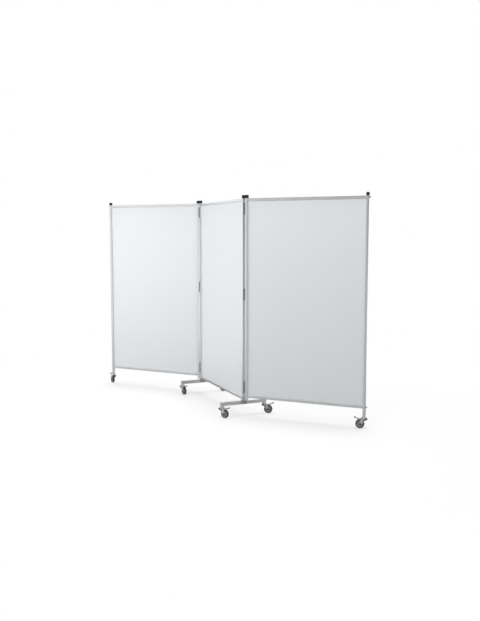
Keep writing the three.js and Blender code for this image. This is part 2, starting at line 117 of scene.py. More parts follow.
class NodeSheet:
    """Adds and links nodes in one node tree."""

    def __init__(self, tree: bpy.types.NodeTree) -> None:
        """Keeps the tree.

        Args:
            tree: the tree that the nodes go into.
        """
        self.tree = tree

    def add(self, kind: str, inputs: dict | None = None, **settings) -> bpy.types.Node:
        """Adds one node.

        Args:
            kind: the node's type name.
            inputs: values or sockets to feed, by socket name or index.
            settings: properties of the node.

        Returns:
            The new node.
        """
        node = self.tree.nodes.new(kind)
        for name, value in settings.items():
            setattr(node, name, value)
        for name, value in (inputs or {}).items():
            if isinstance(value, bpy.types.NodeSocket):
                self.tree.links.new(value, node.inputs[name])
            else:
                node.inputs[name].default_value = value
        return node

    def ramp(self, factor: bpy.types.NodeSocket, span: tuple, out: Point) -> bpy.types.NodeSocket:
        """Maps a value from one range to another and clamps it.

        Args:
            factor: the value.
            span: where the range starts and ends.
            out: what the two ends become.

        Returns:
            The mapped value.
        """
        node = self.add(
            "ShaderNodeMapRange",
            {"Value": factor, "From Min": span[0], "From Max": span[1], "To Min": out[0], "To Max": out[1]},
        )
        return node.outputs["Result"]

    def calc(self, operation: str, *values) -> bpy.types.NodeSocket:
        """Works out a value from numbers or sockets.

        Args:
            operation: what the Math node does.
            values: what it does it with.

        Returns:
            The result.
        """
        return self.add("ShaderNodeMath", dict(enumerate(values)), operation=operation).outputs[0]

    def mix(
        self, share: bpy.types.NodeSocket, first: object, second: object, kind: Mixture
    ) -> bpy.types.NodeSocket:
        """Mixes two values or colours.

        Args:
            share: how much of the second one there is.
            first: what stands at share 0.
            second: what stands at share 1.
            kind: whether they are values or colours.

        Returns:
            The mixture.
        """
        node = self.add("ShaderNodeMix", {"Factor": share, "A": first, "B": second}, data_type=kind.value)
        return node.outputs["Result"]


class GroupSheet(NodeSheet):
    """A sheet for the tree of a group, with the group's input and output nodes."""

    def __init__(self, tree: bpy.types.NodeTree) -> None:
        """Adds the two nodes.

        Args:
            tree: the group's tree, with its sockets.
        """
        super().__init__(tree)
        self.source = self.add("NodeGroupInput")
        self.sink = self.add("NodeGroupOutput")


def new_group(name: str, inputs: dict[str, tuple[str, object]], outputs: dict[str, str]) -> GroupSheet:
    """Makes a shader node group with named sockets.

    Args:
        name: the group's name.
        inputs: socket type and default value by name.
        outputs: socket type by name.

    Returns:
        The group's sheet.
    """
    tree = bpy.data.node_groups.new(name, "ShaderNodeTree")
    for label, (kind, value) in inputs.items():
        socket = tree.interface.new_socket(name=label, in_out="INPUT", socket_type=kind)
        if value is not None:
            socket.default_value = value
    for label, kind in outputs.items():
        tree.interface.new_socket(name=label, in_out="OUTPUT", socket_type=kind)
    return GroupSheet(tree)


def grain_group() -> bpy.types.NodeTree:
    """A fine grain that may be drawn out along one way.

    Returns:
        The group, which gives a height and a broad mottle.
    """
    sheet = new_group(
        "surface_grain",
        {
            "Vector": ("NodeSocketVector", None),
            "Fineness": ("NodeSocketFloat", 900.0),
            "Mottle Size": ("NodeSocketFloat", 6.0),
        },
        {"Height": "NodeSocketFloat", "Mottle": "NodeSocketFloat"},
    )
    source = sheet.source.outputs
    place = source["Vector"]
    fine = sheet.add("ShaderNodeTexNoise", {"Vector": place, "Scale": source["Fineness"], "Detail": 3.0})
    broad = sheet.add("ShaderNodeTexNoise", {"Vector": place, "Scale": source["Mottle Size"], "Detail": 4.0})
    sheet.tree.links.new(fine.outputs["Fac"], sheet.sink.inputs["Height"])
    sheet.tree.links.new(broad.outputs["Fac"], sheet.sink.inputs["Mottle"])
    return sheet.tree


def dust_group() -> bpy.types.NodeTree:
    """Dust that thickens towards the floor.

    Returns:
        The group, which gives the share of dust at a point.
    """
    sheet = new_group(
        "floor_dust",
        {
            "Vector": ("NodeSocketVector", None),
            "Top": ("NodeSocketFloat", 0.12),
            "Amount": ("NodeSocketFloat", 0.3),
        },
        {"Dust": "NodeSocketFloat"},
    )
    source = sheet.source.outputs
    place = source["Vector"]
    parted = sheet.add("ShaderNodeSeparateXYZ", {"Vector": place})
    low = sheet.ramp(parted.outputs["Z"], (0.0, source["Top"]), (1.0, 0.0))
    speck = sheet.add("ShaderNodeTexNoise", {"Vector": place, "Scale": DUST_FINENESS, "Detail": 6.0})
    patch = sheet.ramp(speck.outputs["Fac"], DUST_SPAN, (0.0, 1.0))
    share = sheet.calc("MULTIPLY", sheet.calc("MULTIPLY", low, patch), source["Amount"])
    sheet.tree.links.new(share, sheet.sink.inputs["Dust"])
    return sheet.tree


GRAIN = grain_group()
DUST = dust_group()


@dataclass(frozen=True)
class Finish:
    """A surface: its colour, gloss, grain and dust."""

    name: str
    slot: str
    colour: Spot
    roughness: float
    metallic: float = 0.0
    grain: float = 900.0
    grain_depth: float = 0.02
    drawn: Spot = (1.0, 1.0, 1.0)
    turn: float = 0.0
    mottle: float = 0.04
    mottle_size: float = 6.0
    dust: float = 0.0
    dust_colour: Spot = (0.42, 0.41, 0.39)
    coat: float = 0.0
    specular: float = 0.5

    def build(self) -> bpy.types.Material:
        """Makes the material.

        Returns:
            The material, the same one each time it is asked for.
        """
        found = bpy.data.materials.get(self.name)
        if found:
            return found
        material = bpy.data.materials.new(self.name)
        material.use_nodes = True
        sheet = NodeSheet(material.node_tree)
        shader = material.node_tree.nodes["Principled BSDF"]
        shader.inputs["Metallic"].default_value = self.metallic
        shader.inputs["Coat Weight"].default_value = self.coat
        shader.inputs["Specular IOR Level"].default_value = self.specular
        place = sheet.add("ShaderNodeTexCoord").outputs["Object"]
        turned = sheet.add("ShaderNodeMapping", {"Vector": place, "Rotation": (0.0, 0.0, self.turn)})
        drawn = sheet.add("ShaderNodeMapping", {"Vector": turned.outputs[0], "Scale": self.drawn})
        grain = sheet.add("ShaderNodeGroup", node_tree=GRAIN)
        sheet.tree.links.new(drawn.outputs[0], grain.inputs["Vector"])
        grain.inputs["Fineness"].default_value = self.grain
        grain.inputs["Mottle Size"].default_value = self.mottle_size
        dark = tuple(c * (1 - self.mottle) for c in self.colour) + (1.0,)
        light = tuple(min(1.0, c * (1 + self.mottle)) for c in self.colour) + (1.0,)
        shade = sheet.ramp(grain.outputs["Mottle"], NOISE_SPAN, (0.0, 1.0))
        colour = sheet.mix(shade, dark, light, Mixture.COLOUR)
        smooth = self.roughness * (1 - ROUGHNESS_SPREAD)
        coarse = min(1.0, self.roughness * (1 + ROUGHNESS_SPREAD))
        rough = sheet.ramp(grain.outputs["Height"], NOISE_SPAN, (smooth, coarse))
        if self.dust:
            dusty = sheet.add("ShaderNodeGroup", node_tree=DUST)
            sheet.tree.links.new(place, dusty.inputs["Vector"])
            dusty.inputs["Amount"].default_value = self.dust
            share = dusty.outputs["Dust"]
            colour = sheet.mix(share, colour, self.dust_colour + (1.0,), Mixture.COLOUR)
            rough = sheet.mix(share, rough, DUST_ROUGHNESS, Mixture.NUMBER)
        sheet.tree.links.new(colour, shader.inputs["Base Color"])
        sheet.tree.links.new(rough, shader.inputs["Roughness"])
        bump = sheet.add(
            "ShaderNodeBump",
            {"Height": grain.outputs["Height"], "Strength": self.grain_depth, "Distance": BUMP_DISTANCE},
        )
        sheet.tree.links.new(bump.outputs["Normal"], shader.inputs["Normal"])
        return material


# How far the grain is drawn out along X or up a post
ALONG = (0.02, 1.0, 1.0)
UP = (1.0, 1.0, 0.02)

POST_METAL = Finish("post_metal", "frame_metal", (0.92, 0.93, 0.94), 0.32, 0.97, drawn=UP, grain_depth=0.06)
WHITE_SHEET = Finish(
    "white_sheet", "white_sheet", (0.80, 0.835, 0.86), 0.5, grain=1400.0, grain_depth=0.03, mottle=0.012,
    mottle_size=1.4, specular=0.3,
)
BLACK_PLASTIC = Finish(
    "black_plastic", "black_plastic", (0.018, 0.018, 0.02), 0.42, grain=2600.0, grain_depth=0.1, mottle=0.2
)
ZINC = Finish(
    "caster_zinc", "caster_steel", (0.8, 0.805, 0.81), 0.3, 0.85, grain=700.0, grain_depth=0.05, mottle=0.1,
    mottle_size=45.0, dust=0.25,
)
HINGE_STEEL = Finish(
    "hinge_steel", "hinge_steel", (0.5, 0.505, 0.51), 0.36, 0.9, drawn=UP, grain_depth=0.08, mottle=0.08
)
BOLT_STEEL = Finish(
    "bolt_steel", "frame_metal", (0.55, 0.555, 0.56), 0.25, 0.95, grain=1500.0, grain_depth=0.03, mottle=0.08
)
FORK_STEEL = Finish(
    "caster_fork_steel", "caster_steel", (0.8, 0.803, 0.806), 0.36, 0.72, grain=900.0, grain_depth=0.06,
    mottle=0.1, mottle_size=45.0, dust=0.3,
)
AXLE_STEEL = Finish(
    "axle_steel", "caster_steel", (0.1, 0.1, 0.102), 0.4, 0.8, grain=1500.0, grain_depth=0.05, mottle=0.1
)
TYRE = Finish(
    "grey_tyre", "grey_tyre", (0.17, 0.171, 0.174), 0.62, grain=1200.0, grain_depth=0.25, mottle=0.15,
    dust=0.55,
)
RIM = Finish(
    "wheel_rim", "grey_tyre", (0.36, 0.365, 0.37), 0.5, grain=1500.0, grain_depth=0.1, mottle=0.08, dust=0.35
)
TREAD = Finish(
    "pedal_tread", "caster_steel", (0.02, 0.02, 0.022), 0.5, grain=1800.0, grain_depth=0.15, mottle=0.2,
    dust=0.3,
)


def rail_metal(turn: float) -> Finish:
    """The frame's metal with its brushing along a rail.

    Args:
        turn: the rail's direction, as an angle from X.

    Returns:
        The finish for rails that lie that way.
    """
    name = f"rail_metal_{round(math.degrees(turn)) % 360:03d}"
    return Finish(
        name, "frame_metal", POST_METAL.colour, POST_METAL.roughness, POST_METAL.metallic, drawn=ALONG,
        turn=-turn, grain_depth=POST_METAL.grain_depth,
    )


# Making meshes


def mesh_of(bm: bmesh.types.BMesh, name: str = "draft") -> bpy.types.Mesh:
    """Turns a drawn shape into a mesh with its faces outwards.

    Args:
        bm: the shape, which is used up.
        name: the mesh's name.

    Returns:
        The mesh.
    """
    bmesh.ops.recalc_face_normals(bm, faces=bm.faces)
    mesh = bpy.data.meshes.new(name)
    bm.to_mesh(mesh)
    bm.free()
    return mesh


def bm_of(mesh: bpy.types.Mesh) -> bmesh.types.BMesh:
    """Opens a mesh for drawing.

    Args:
        mesh: the mesh.

    Returns:
        Its shape, to be freed after use.
    """
    bm = bmesh.new()
    bm.from_mesh(mesh)
    return bm


def prism(outline: list[Point], low: float, high: float) -> bpy.types.Mesh:
    """A solid with one outline from end to end.

    Args:
        outline: corners in X and Y.
        low: Z of one end.
        high: Z of the other.

    Returns:
        The solid.
    """
    bm = bmesh.new()
    face = bm.faces.new([bm.verts.new((x, y, low)) for x, y in outline])
    grown = bmesh.ops.extrude_face_region(bm, geom=[face])
    corners = [v for v in grown["geom"] if isinstance(v, bmesh.types.BMVert)]
    bmesh.ops.translate(bm, verts=corners, vec=(0, 0, high - low))
    return mesh_of(bm)


def block(low: Spot, high: Spot, bevel: float = 0.0, steps: int = 2) -> bpy.types.Mesh:
    """A box with its edges rounded.

    Args:
        low: its lowest corner.
        high: its highest corner.
        bevel: radius of the rounding.
        steps: faces across the rounding.

    Returns:
        The box.
    """
    outline = [(low[0], low[1]), (high[0], low[1]), (high[0], high[1]), (low[0], high[1])]
    mesh = prism(outline, low[2], high[2])
    return rounded(mesh, bevel, steps) if bevel else mesh


def rounded(mesh: bpy.types.Mesh, radius: float, steps: int = 2, angle: float = 30.0) -> bpy.types.Mesh:
    """Rounds a solid's sharp edges.

    Args:
        mesh: the solid.
        radius: of the rounding.
        steps: faces across it.
        angle: edges sharper than this many degrees are rounded.

    Returns:
        The same mesh, rounded.
    """
    bm = bm_of(mesh)
    sharp = [e for e in bm.edges if e.is_manifold and e.calc_face_angle() > math.radians(angle)]
    bmesh.ops.bevel(
        bm, geom=sharp, offset=radius, offset_type="OFFSET", segments=steps, profile=0.5, affect="EDGES",
        clamp_overlap=True,
    )
    bmesh.ops.recalc_face_normals(bm, faces=bm.faces)
    bm.to_mesh(mesh)
    bm.free()
    return mesh


def turned(profile: list[Point], steps: int = ROUND) -> bpy.types.Mesh:
    """A solid turned about Z.

    Args:
        profile: radius and height of each corner, from one end on the axis to the other, or closed.
        steps: faces round it.

    Returns:
        The solid.
    """
    bm = bmesh.new()
    closed = profile[0] == profile[-1]
    points = profile[:-1] if closed else profile
    rings = []
    for radius, height in points:
        if radius < CLOSE:
            rings.append([bm.verts.new((0, 0, height))])
            continue
        ring = []
        for i in range(steps):
            angle = 2 * math.pi * i / steps
            ring.append(bm.verts.new((radius * math.cos(angle), radius * math.sin(angle), height)))
        rings.append(ring)
    pairs = list(zip(rings, rings[1:]))
    if closed:
        pairs.append((rings[-1], rings[0]))
    for lower, upper in pairs:
        for i in range(steps):
            j = (i + 1) % steps
            if len(lower) == 1 and len(upper) == 1:
                continue
            if len(lower) == 1:
                bm.faces.new([lower[0], upper[j], upper[i]])
            elif len(upper) == 1:
                bm.faces.new([lower[i], lower[j], upper[0]])
            else:
                bm.faces.new([lower[i], lower[j], upper[j], upper[i]])
    return mesh_of(bm)


def bar(radius: float, low: float, high: float, chamfer: float = 0.0, steps: int = ROUND) -> bpy.types.Mesh:
    """A round bar along Z with chamfered ends.

    Args:
        radius: of the bar.
        low: Z of one end.
        high: Z of the other.
        chamfer: size of the end chamfers.
        steps: faces round it.

    Returns:
        The bar.
    """
    if chamfer:
        edge = radius - chamfer
        ends = [(edge, low), (radius, low + chamfer), (radius, high - chamfer), (edge, high)]
    else:
        ends = [(radius, low), (radius, high)]
    return turned([(0, low), *ends, (0, high)], steps)


def hexagon(across: float, low: float, high: float) -> bpy.types.Mesh:
    """A hexagonal prism along Z with rounded edges.

    Args:
        across: radius over its corners.
        low: Z of one end.
        high: Z of the other.

    Returns:
        The prism.
    """
    corners = [(across * math.cos(math.pi * i / 3), across * math.sin(math.pi * i / 3)) for i in range(6)]
    return rounded(prism(corners, low, high), NUT_EDGE)


def dome(radius: float, rise: float, base: float = 0.0, steps: int = 16, count: int = 8) -> list[Point]:
    """The side of a dome, for a turned profile.

    Args:
        radius: of its rim.
        rise: its height over the rim.
        base: height of the rim.
        steps: how many steps a half circle has.
        count: how many points are made, from the rim up.

    Returns:
        The points.
    """
    angles = [math.pi * i / steps for i in range(count)]
    return [(radius * math.cos(angle), base + rise * math.sin(angle)) for angle in angles]


def in_mm(points: Iterable[Point], up: float = 0.0) -> list[Point]:
    """Turns points given in millimetres into metres.

    Args:
        points: the points.
        up: how far they are raised, in metres.

    Returns:
        The points.
    """
    return [(x * MM, up + y * MM) for x, y in points]


def with_mirror(upper: list[Point]) -> list[Point]:
    """Closes a profile with its mirror image.

    Args:
        upper: its upper half, from the outside in.

    Returns:
        The whole profile, which ends where it starts.
    """
    lower = [(radius, -height) for radius, height in reversed(upper)]
    return [*lower, *upper, lower[0]]


def moved(mesh: bpy.types.Mesh, *steps: Matrix) -> bpy.types.Mesh:
    """A copy of a mesh moved by matrices, the last one first.

    Args:
        mesh: the mesh.
        steps: the matrices.

    Returns:
        The moved copy.
    """
    copy = mesh.copy()
    matrix = Matrix.Identity(4)
    for step in steps:
        matrix = matrix @ step
    copy.transform(matrix)
    return copy


def shift(x: float, y: float, z: float) -> Matrix:
    """A move."""
    return Matrix.Translation((x, y, z))


def turn(degrees: float, axis: str) -> Matrix:
    """A turn about an axis."""
    return Matrix.Rotation(math.radians(degrees), 4, axis)


def boolean(target: bpy.types.Mesh, others: list[bpy.types.Mesh], operation: Solids) -> bpy.types.Mesh:
    """Joins solids to a solid, or cuts them out of it.

    Args:
        target: the solid.
        others: what is joined or cut out, one after the other.
        operation: whether they are joined or cut out.

    Returns:
        The new solid.
    """
    holder = bpy.data.objects.new("boolean_target", target)
    bpy.context.scene.collection.objects.link(holder)
    helpers = []
    for other in others:
        helper = bpy.data.objects.new("boolean_tool", other)
        bpy.context.scene.collection.objects.link(helper)
        helpers.append(helper)
        step = holder.modifiers.new("step", "BOOLEAN")
        step.operation = operation.value
        step.solver = "EXACT"
        step.object = helper
    result = evaluated(holder)
    for helper in [holder, *helpers]:
        bpy.data.objects.remove(helper)
    return result


def evaluated(holder: bpy.types.Object) -> bpy.types.Mesh:
    """The plain mesh that an object's modifiers make.

    Args:
        holder: the object.

    Returns:
        The mesh.
    """
    bpy.context.view_layer.update()
    depsgraph = bpy.context.evaluated_depsgraph_get()
    return bpy.data.meshes.new_from_object(holder.evaluated_get(depsgraph), depsgraph=depsgraph)


def joined(meshes: list[bpy.types.Mesh]) -> bpy.types.Mesh:
    """One mesh that holds several solids side by side.

    Args:
        meshes: the solids.

    Returns:
        The mesh.
    """
    bm = bmesh.new()
    for mesh in meshes:
        bm.from_mesh(mesh)
    mesh = bpy.data.meshes.new("joined")
    bm.to_mesh(mesh)
    bm.free()
    return mesh


# Geometry node trees


class GeometryTree(GroupSheet):
    """A geometry node tree with named inputs that ends in real meshes with one material."""

    def __init__(self, name: str, inputs: dict[str, str]) -> None:
        """Makes the tree.

        Args:
            name: its name.
            inputs: socket type by name.
        """
        tree = bpy.data.node_groups.new(name, "GeometryNodeTree")
        face = tree.interface
        face.new_socket(name="Geometry", in_out="INPUT", socket_type="NodeSocketGeometry")
        self.ids = {}
        for label, kind in {**inputs, "Finish": "NodeSocketMaterial"}.items():
            self.ids[label] = face.new_socket(name=label, in_out="INPUT", socket_type=kind).identifier
        face.new_socket(name="Geometry", in_out="OUTPUT", socket_type="NodeSocketGeometry")
        super().__init__(tree)

    def finish(self, geometry: bpy.types.NodeSocket) -> None:
        """Ends the tree: makes instances real and gives them the material.

        Args:
            geometry: what the tree has made.
        """
        real = self.add("GeometryNodeRealizeInstances", {"Geometry": geometry})
        dressed = self.add(
            "GeometryNodeSetMaterial",
            {"Geometry": real.outputs[0], "Material": self.source.outputs["Finish"]},
        )
        self.tree.links.new(dressed.outputs[0], self.sink.inputs[0])

    def run(self, finish: Finish, **values) -> bpy.types.Mesh:
        """Runs the tree once.

        Args:
            finish: the material's finish.
            values: inputs by name, with _ for a space.

        Returns:
            The mesh that it makes.
        """
        holder = bpy.data.objects.new("tree_holder", bpy.data.meshes.new("tree_holder"))
        bpy.context.scene.collection.objects.link(holder)
        modifier = holder.modifiers.new("tree", "NODES")
        modifier.node_group = self.tree
        modifier[self.ids["Finish"]] = finish.build()
        for label, value in values.items():
            modifier[self.ids[label.replace("_", " ")]] = value
        result = evaluated(holder)
        bpy.data.objects.remove(holder)
        return result


TUBE_CORNER_STEPS = 5


def tube_tree() -> GeometryTree:
    """A tree that sweeps a rounded square along Z: the outside of a tube.

    Returns:
        The tree, with inputs Side, Corner and Length.
    """
    sizes = {"Side": "NodeSocketFloat", "Corner": "NodeSocketFloat", "Length": "NodeSocketFloat"}
    tree = GeometryTree("square_tube", sizes)
    source = tree.source.outputs
    end = tree.add("ShaderNodeCombineXYZ", {"Z": source["Length"]})
    line = tree.add("GeometryNodeCurvePrimitiveLine", {"End": end.outputs[0]})
    side = source["Side"]
    square = tree.add("GeometryNodeCurvePrimitiveQuadrilateral", {"Width": side, "Height": side})
    section = tree.add("GeometryNodeFilletCurve", {"Curve": square.outputs[0], "Radius": source["Corner"]})
    section.mode = "POLY"
    section.inputs["Count"].default_value = TUBE_CORNER_STEPS
    outline = section.outputs[0]
    swept = tree.add("GeometryNodeCurveToMesh", {"Curve": line.outputs[0], "Profile Curve": outline})
    tree.finish(swept.outputs[0])
    return tree


def row_tree() -> GeometryTree:
    """A tree that repeats an item along a line.

    Returns:
        The tree, with inputs Item, Count, Start and Step.
    """
    tree = GeometryTree(
        "row_of_items",
        {
            "Item": "NodeSocketObject",
            "Count": "NodeSocketInt",
            "Start": "NodeSocketVector",
            "Step": "NodeSocketVector",
        },
    )
    source = tree.source.outputs
    line = tree.add(
        "GeometryNodeMeshLine",
        {"Count": source["Count"], "Start Location": source["Start"], "Offset": source["Step"]},
    )
    item = tree.add("GeometryNodeObjectInfo", {"Object": source["Item"]})
    copies = tree.add(
        "GeometryNodeInstanceOnPoints", {"Points": line.outputs[0], "Instance": item.outputs["Geometry"]}
    )
    tree.finish(copies.outputs[0])
    return tree


def ring_tree() -> GeometryTree:
    """A tree that repeats an item round Z, each turned to face outwards.

    Returns:
        The tree, with inputs Item and Count.
    """
    tree = GeometryTree("ring_of_items", {"Item": "NodeSocketObject", "Count": "NodeSocketInt"})
    source = tree.source.outputs
    points = tree.add("GeometryNodeMeshLine", {"Count": source["Count"]})
    points.inputs["Offset"].default_value = (0.0, 0.0, 0.0)
    index = tree.add("GeometryNodeInputIndex")
    share = tree.calc("DIVIDE", index.outputs[0], source["Count"])
    rotation = tree.add("ShaderNodeCombineXYZ", {"Z": tree.calc("MULTIPLY", share, 2 * math.pi)})
    item = tree.add("GeometryNodeObjectInfo", {"Object": source["Item"]})
    copies = tree.add(
        "GeometryNodeInstanceOnPoints",
        {"Points": points.outputs[0], "Instance": item.outputs["Geometry"], "Rotation": rotation.outputs[0]},
    )
    tree.finish(copies.outputs[0])
    return tree


TUBE = tube_tree()
ROW = row_tree()
RING = ring_tree()


def repeated(tree: GeometryTree, mesh: bpy.types.Mesh, finish: Finish, **values) -> bpy.types.Mesh:
    """Repeats a small mesh with a tree.

    Args:
        tree: a row or a ring.
        mesh: the item.
        finish: its finish.
        values: the tree's other inputs.

    Returns:
        The mesh that holds every copy.
    """
    item = bpy.data.objects.new("item", mesh)
    bpy.context.scene.collection.objects.link(item)
    made = tree.run(finish, Item=item, **values)
    bpy.data.objects.remove(item)
    return made


def square_tube(side: float, corner: float, wall: float, length: float, finish: Finish) -> bpy.types.Mesh:
    """A square tube along Z from the origin, open at both ends.

    Args:
        side: width over the outside.
        corner: outside corner radius.
        wall: wall thickness.
        length: of the tube.
        finish: its finish.

    Returns:
        The tube.
    """
    outside = TUBE.run(finish, Side=side, Corner=corner, Length=length)
    bm = bm_of(outside)
    bmesh.ops.remove_doubles(bm, verts=bm.verts, dist=CLOSE)
    bmesh.ops.recalc_face_normals(bm, faces=bm.faces)
    bm.to_mesh(outside)
    bm.free()
    holder = bpy.data.objects.new("tube_holder", outside)
    bpy.context.scene.collection.objects.link(holder)
    shell = holder.modifiers.new("wall", "SOLIDIFY")
    shell.thickness = wall
    shell.offset = -1
    shell.use_even_offset = True
    tube = evaluated(holder)
    bpy.data.objects.remove(holder)
    return tube


# Placing pieces


def dress(mesh: bpy.types.Mesh, name: str, finish: Finish, body: str, *nodes: str) -> bpy.types.Object:
    """Makes a finished piece of a mesh.

    Args:
        mesh: the piece's mesh, in the frame.
        name: the piece's name.
        finish: its finish.
        body: the body that it rides on.
        nodes: the nodes that it stands for.

    Returns:
        The piece.
    """
    mesh.materials.clear()
    mesh.materials.append(finish.build())
    for face in mesh.polygons:
        face.material_index = 0
    mesh.shade_smooth()
    mesh.set_sharp_from_angle(angle=SMOOTH_ANGLE)
    mesh.name = name
    piece = bpy.data.objects.new(name, mesh)
    bpy.context.scene.collection.objects.link(piece)
    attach(piece, body)
    if nodes:
        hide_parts(*nodes)
    log.info("%s on %s", name, body)
    return piece


@dataclass(frozen=True)
class Place:
    """Where a sub-assembly stands: a point on the floor and its direction in degrees."""

    x: float
    y: float
    heading: float

    @property
    def matrix(self) -> Matrix:
        """The move from the sub-assembly's own axes to the frame's."""
        return shift(self.x, self.y, 0) @ turn(self.heading, "Z")

    def beyond(self, x: float, y: float) -> "Place":
        """A place at a distance along and beside this one.

        Args:
            x: the distance along it, in metres.
            y: the distance beside it.

        Returns:
            The place, with the same direction.
        """
        at = self.matrix @ Vector((x, y, 0))
        return Place(at.x, at.y, self.heading)


# Sub-assemblies


@dataclass(frozen=True)
class DomedNut:
    """A washer with a domed nut on it, along +Z from the post's face."""

    washer_radius: float = 7.5 * MM
    washer_height: float = 1.4 * MM
    washer_edge: float = 0.25 * MM
    nut_radius: float = 6.8 * MM
    nut_top: float = 6.6 * MM
    dome_radius: float = 5.3 * MM
    dome_foot: float = 6.2 * MM
    dome_rim: float = 6.8 * MM
    dome_rise: float = 5.1 * MM

    def mesh(self) -> bpy.types.Mesh:
        """The washer, the hexagon and the dome as one mesh.

        Returns:
            The mesh.
        """
        washer = bar(self.washer_radius, 0, self.washer_height, self.washer_edge)
        nut = hexagon(self.nut_radius, self.washer_height - OVERLAP, self.nut_top)
        foot = [(0, self.dome_foot), (self.dome_radius, self.dome_foot)]
        side = dome(self.dome_radius, self.dome_rise, self.dome_rim)
        return joined([washer, nut, turned([*foot, *side, (0, self.dome_rim + self.dome_rise)])])


@dataclass(frozen=True)
class ScrewHead:
    """A low domed screw head along +Z, with its hexagon socket."""

    radius: float
    rise: float
    socket: float
    crown_share: float = 1.0
    socket_floor_share: float = 0.3
    skirt: float = 0.0
    steps: int = 16
    count: int = 8

    def mesh(self) -> bpy.types.Mesh:
        """The head with its socket cut.

        Returns:
            The mesh.
        """
        rim = [(0, -self.skirt), (self.radius, -self.skirt)] if self.skirt else [(0, 0)]
        side = dome(self.radius, self.rise, steps=self.steps, count=self.count)
        head = turned([*rim, *side, (0, self.rise * self.crown_share)])
        socket = hexagon(self.socket, self.rise * self.socket_floor_share, self.rise * 2)
        return boolean(head, [socket], Solids.CUT)


BUTTON_HEAD = ScrewHead(6.5 * MM, 2.4 * MM, 2.6 * MM, crown_share=0.97, steps=12, count=5)
FOOT_SCREW = ScrewHead(6 * MM, 3 * MM, 2.3 * MM, socket_floor_share=0.35, skirt=0.2 * MM)


@dataclass
class PanelFrame:
    """A framed panel: two posts, two rails, the sheet and two caps, centred on its place."""

    name: str
    body: str
    place: Place
    undersides: Point
    at_joints: tuple[bool, bool]
    height: float = 1774 * MM
    pitch: float = 978 * MM
    tube: float = 22 * MM
    wall: float = 1.5 * MM
    corner: float = 2.4 * MM
    rail_underside: float = 154 * MM
    slot_width: float = 4.6 * MM
    slot_depth: float = 5.3 * MM
    cap_height: float = 26 * MM
    cap_round: float = 1.6 * MM
    cap_steps: int = 4
    plug_inset: float = 2 * MM
    plug_length: float = 6 * MM

    def post(self, underside: float) -> bpy.types.Mesh:
        """A post with the sheet's slot on its -X side.

        Args:
            underside: height of its lower end.

        Returns:
            The post, standing on its own axis.
        """
        tube = square_tube(self.tube, self.corner, self.wall, self.height - underside, POST_METAL)
        tube.transform(shift(0, 0, underside))
        half = self.slot_width / 2
        slot = block(
            (-self.tube, -half, self.rail_underside + self.tube - self.slot_depth),
            (-self.tube / 4, half, self.height - self.tube + self.slot_depth),
        )
        return boolean(tube, [slot], Solids.CUT)

    def rail(self, finish: Finish) -> bpy.types.Mesh:
        """A rail along X with the sheet's slot on top.

        Args:
            finish: the metal, brushed its way.

        Returns:
            The rail, its axis on X.
        """
        length = self.pitch - self.tube - 2 * GAP
        tube = square_tube(self.tube, self.corner, self.wall, length, finish)
        tube.transform(turn(90, "Y") @ shift(0, 0, -length / 2))
        half = self.slot_width / 2
        slot = block((-length, -half, self.tube / 4), (length, half, self.tube))
        return boolean(tube, [slot], Solids.CUT)

    def cap(self) -> bpy.types.Mesh:
        """A moulded cap with a rounded top.

        Returns:
            The cap with its plug, on the post's axis.
        """
        half = self.tube / 2
        low = self.height + GAP
        top = self.height + self.cap_height
        inside = half - self.plug_inset
        body = block((-half, -half, low), (half, half, top), self.cap_round, self.cap_steps)
        plug = block((-inside, -inside, low - self.plug_length), (inside, inside, low + MM))
        return joined([body, plug])

    def build(self) -> None:
        """Builds and dresses the panel."""
        along = rail_metal(math.radians(self.place.heading))
        levels = (self.rail_underside + self.tube / 2, self.height - self.tube / 2)
        for side, underside, at_joint in zip(Side, self.undersides, self.at_joints):
            label = f"{self.name}_{side.name.lower()}"
            facing = turn(0 if side is Side.RIGHT else 180, "Z")
            base = self.place.matrix @ shift(side.value * self.pitch / 2, 0, 0) @ facing
            post = moved(self.post(underside), base)
            dress(post, f"{label}_post_tube", POST_METAL, self.body, f"{label}_post")
            dress(moved(self.cap(), base), f"{label}_post_cap", BLACK_PLASTIC, self.body, f"{label}_cap")
            head = (BUTTON_HEAD if at_joint else DomedNut()).mesh()
            heads = [moved(head, base, shift(self.tube / 2, 0, level), turn(90, "Y")) for level in levels]
            kind = "button_heads" if at_joint else "domed_nuts"
            dress(joined(heads), f"{label}_{kind}", BOLT_STEEL, self.body)
        for label, level, over in (("bottom", levels[0], 0), ("top", levels[1], 180)):
            rail = moved(self.rail(along), self.place.matrix, shift(0, 0, level), turn(over, "X"))
            node = f"{self.name}_{label}_rail"
            dress(rail, f"{node}_tube", along, self.body, node)
        sheet = frame["nodes"][f"{self.name}_infill_sheet"]
        sheet.data.materials.clear()
        sheet.data.materials.append(WHITE_SHEET.build())


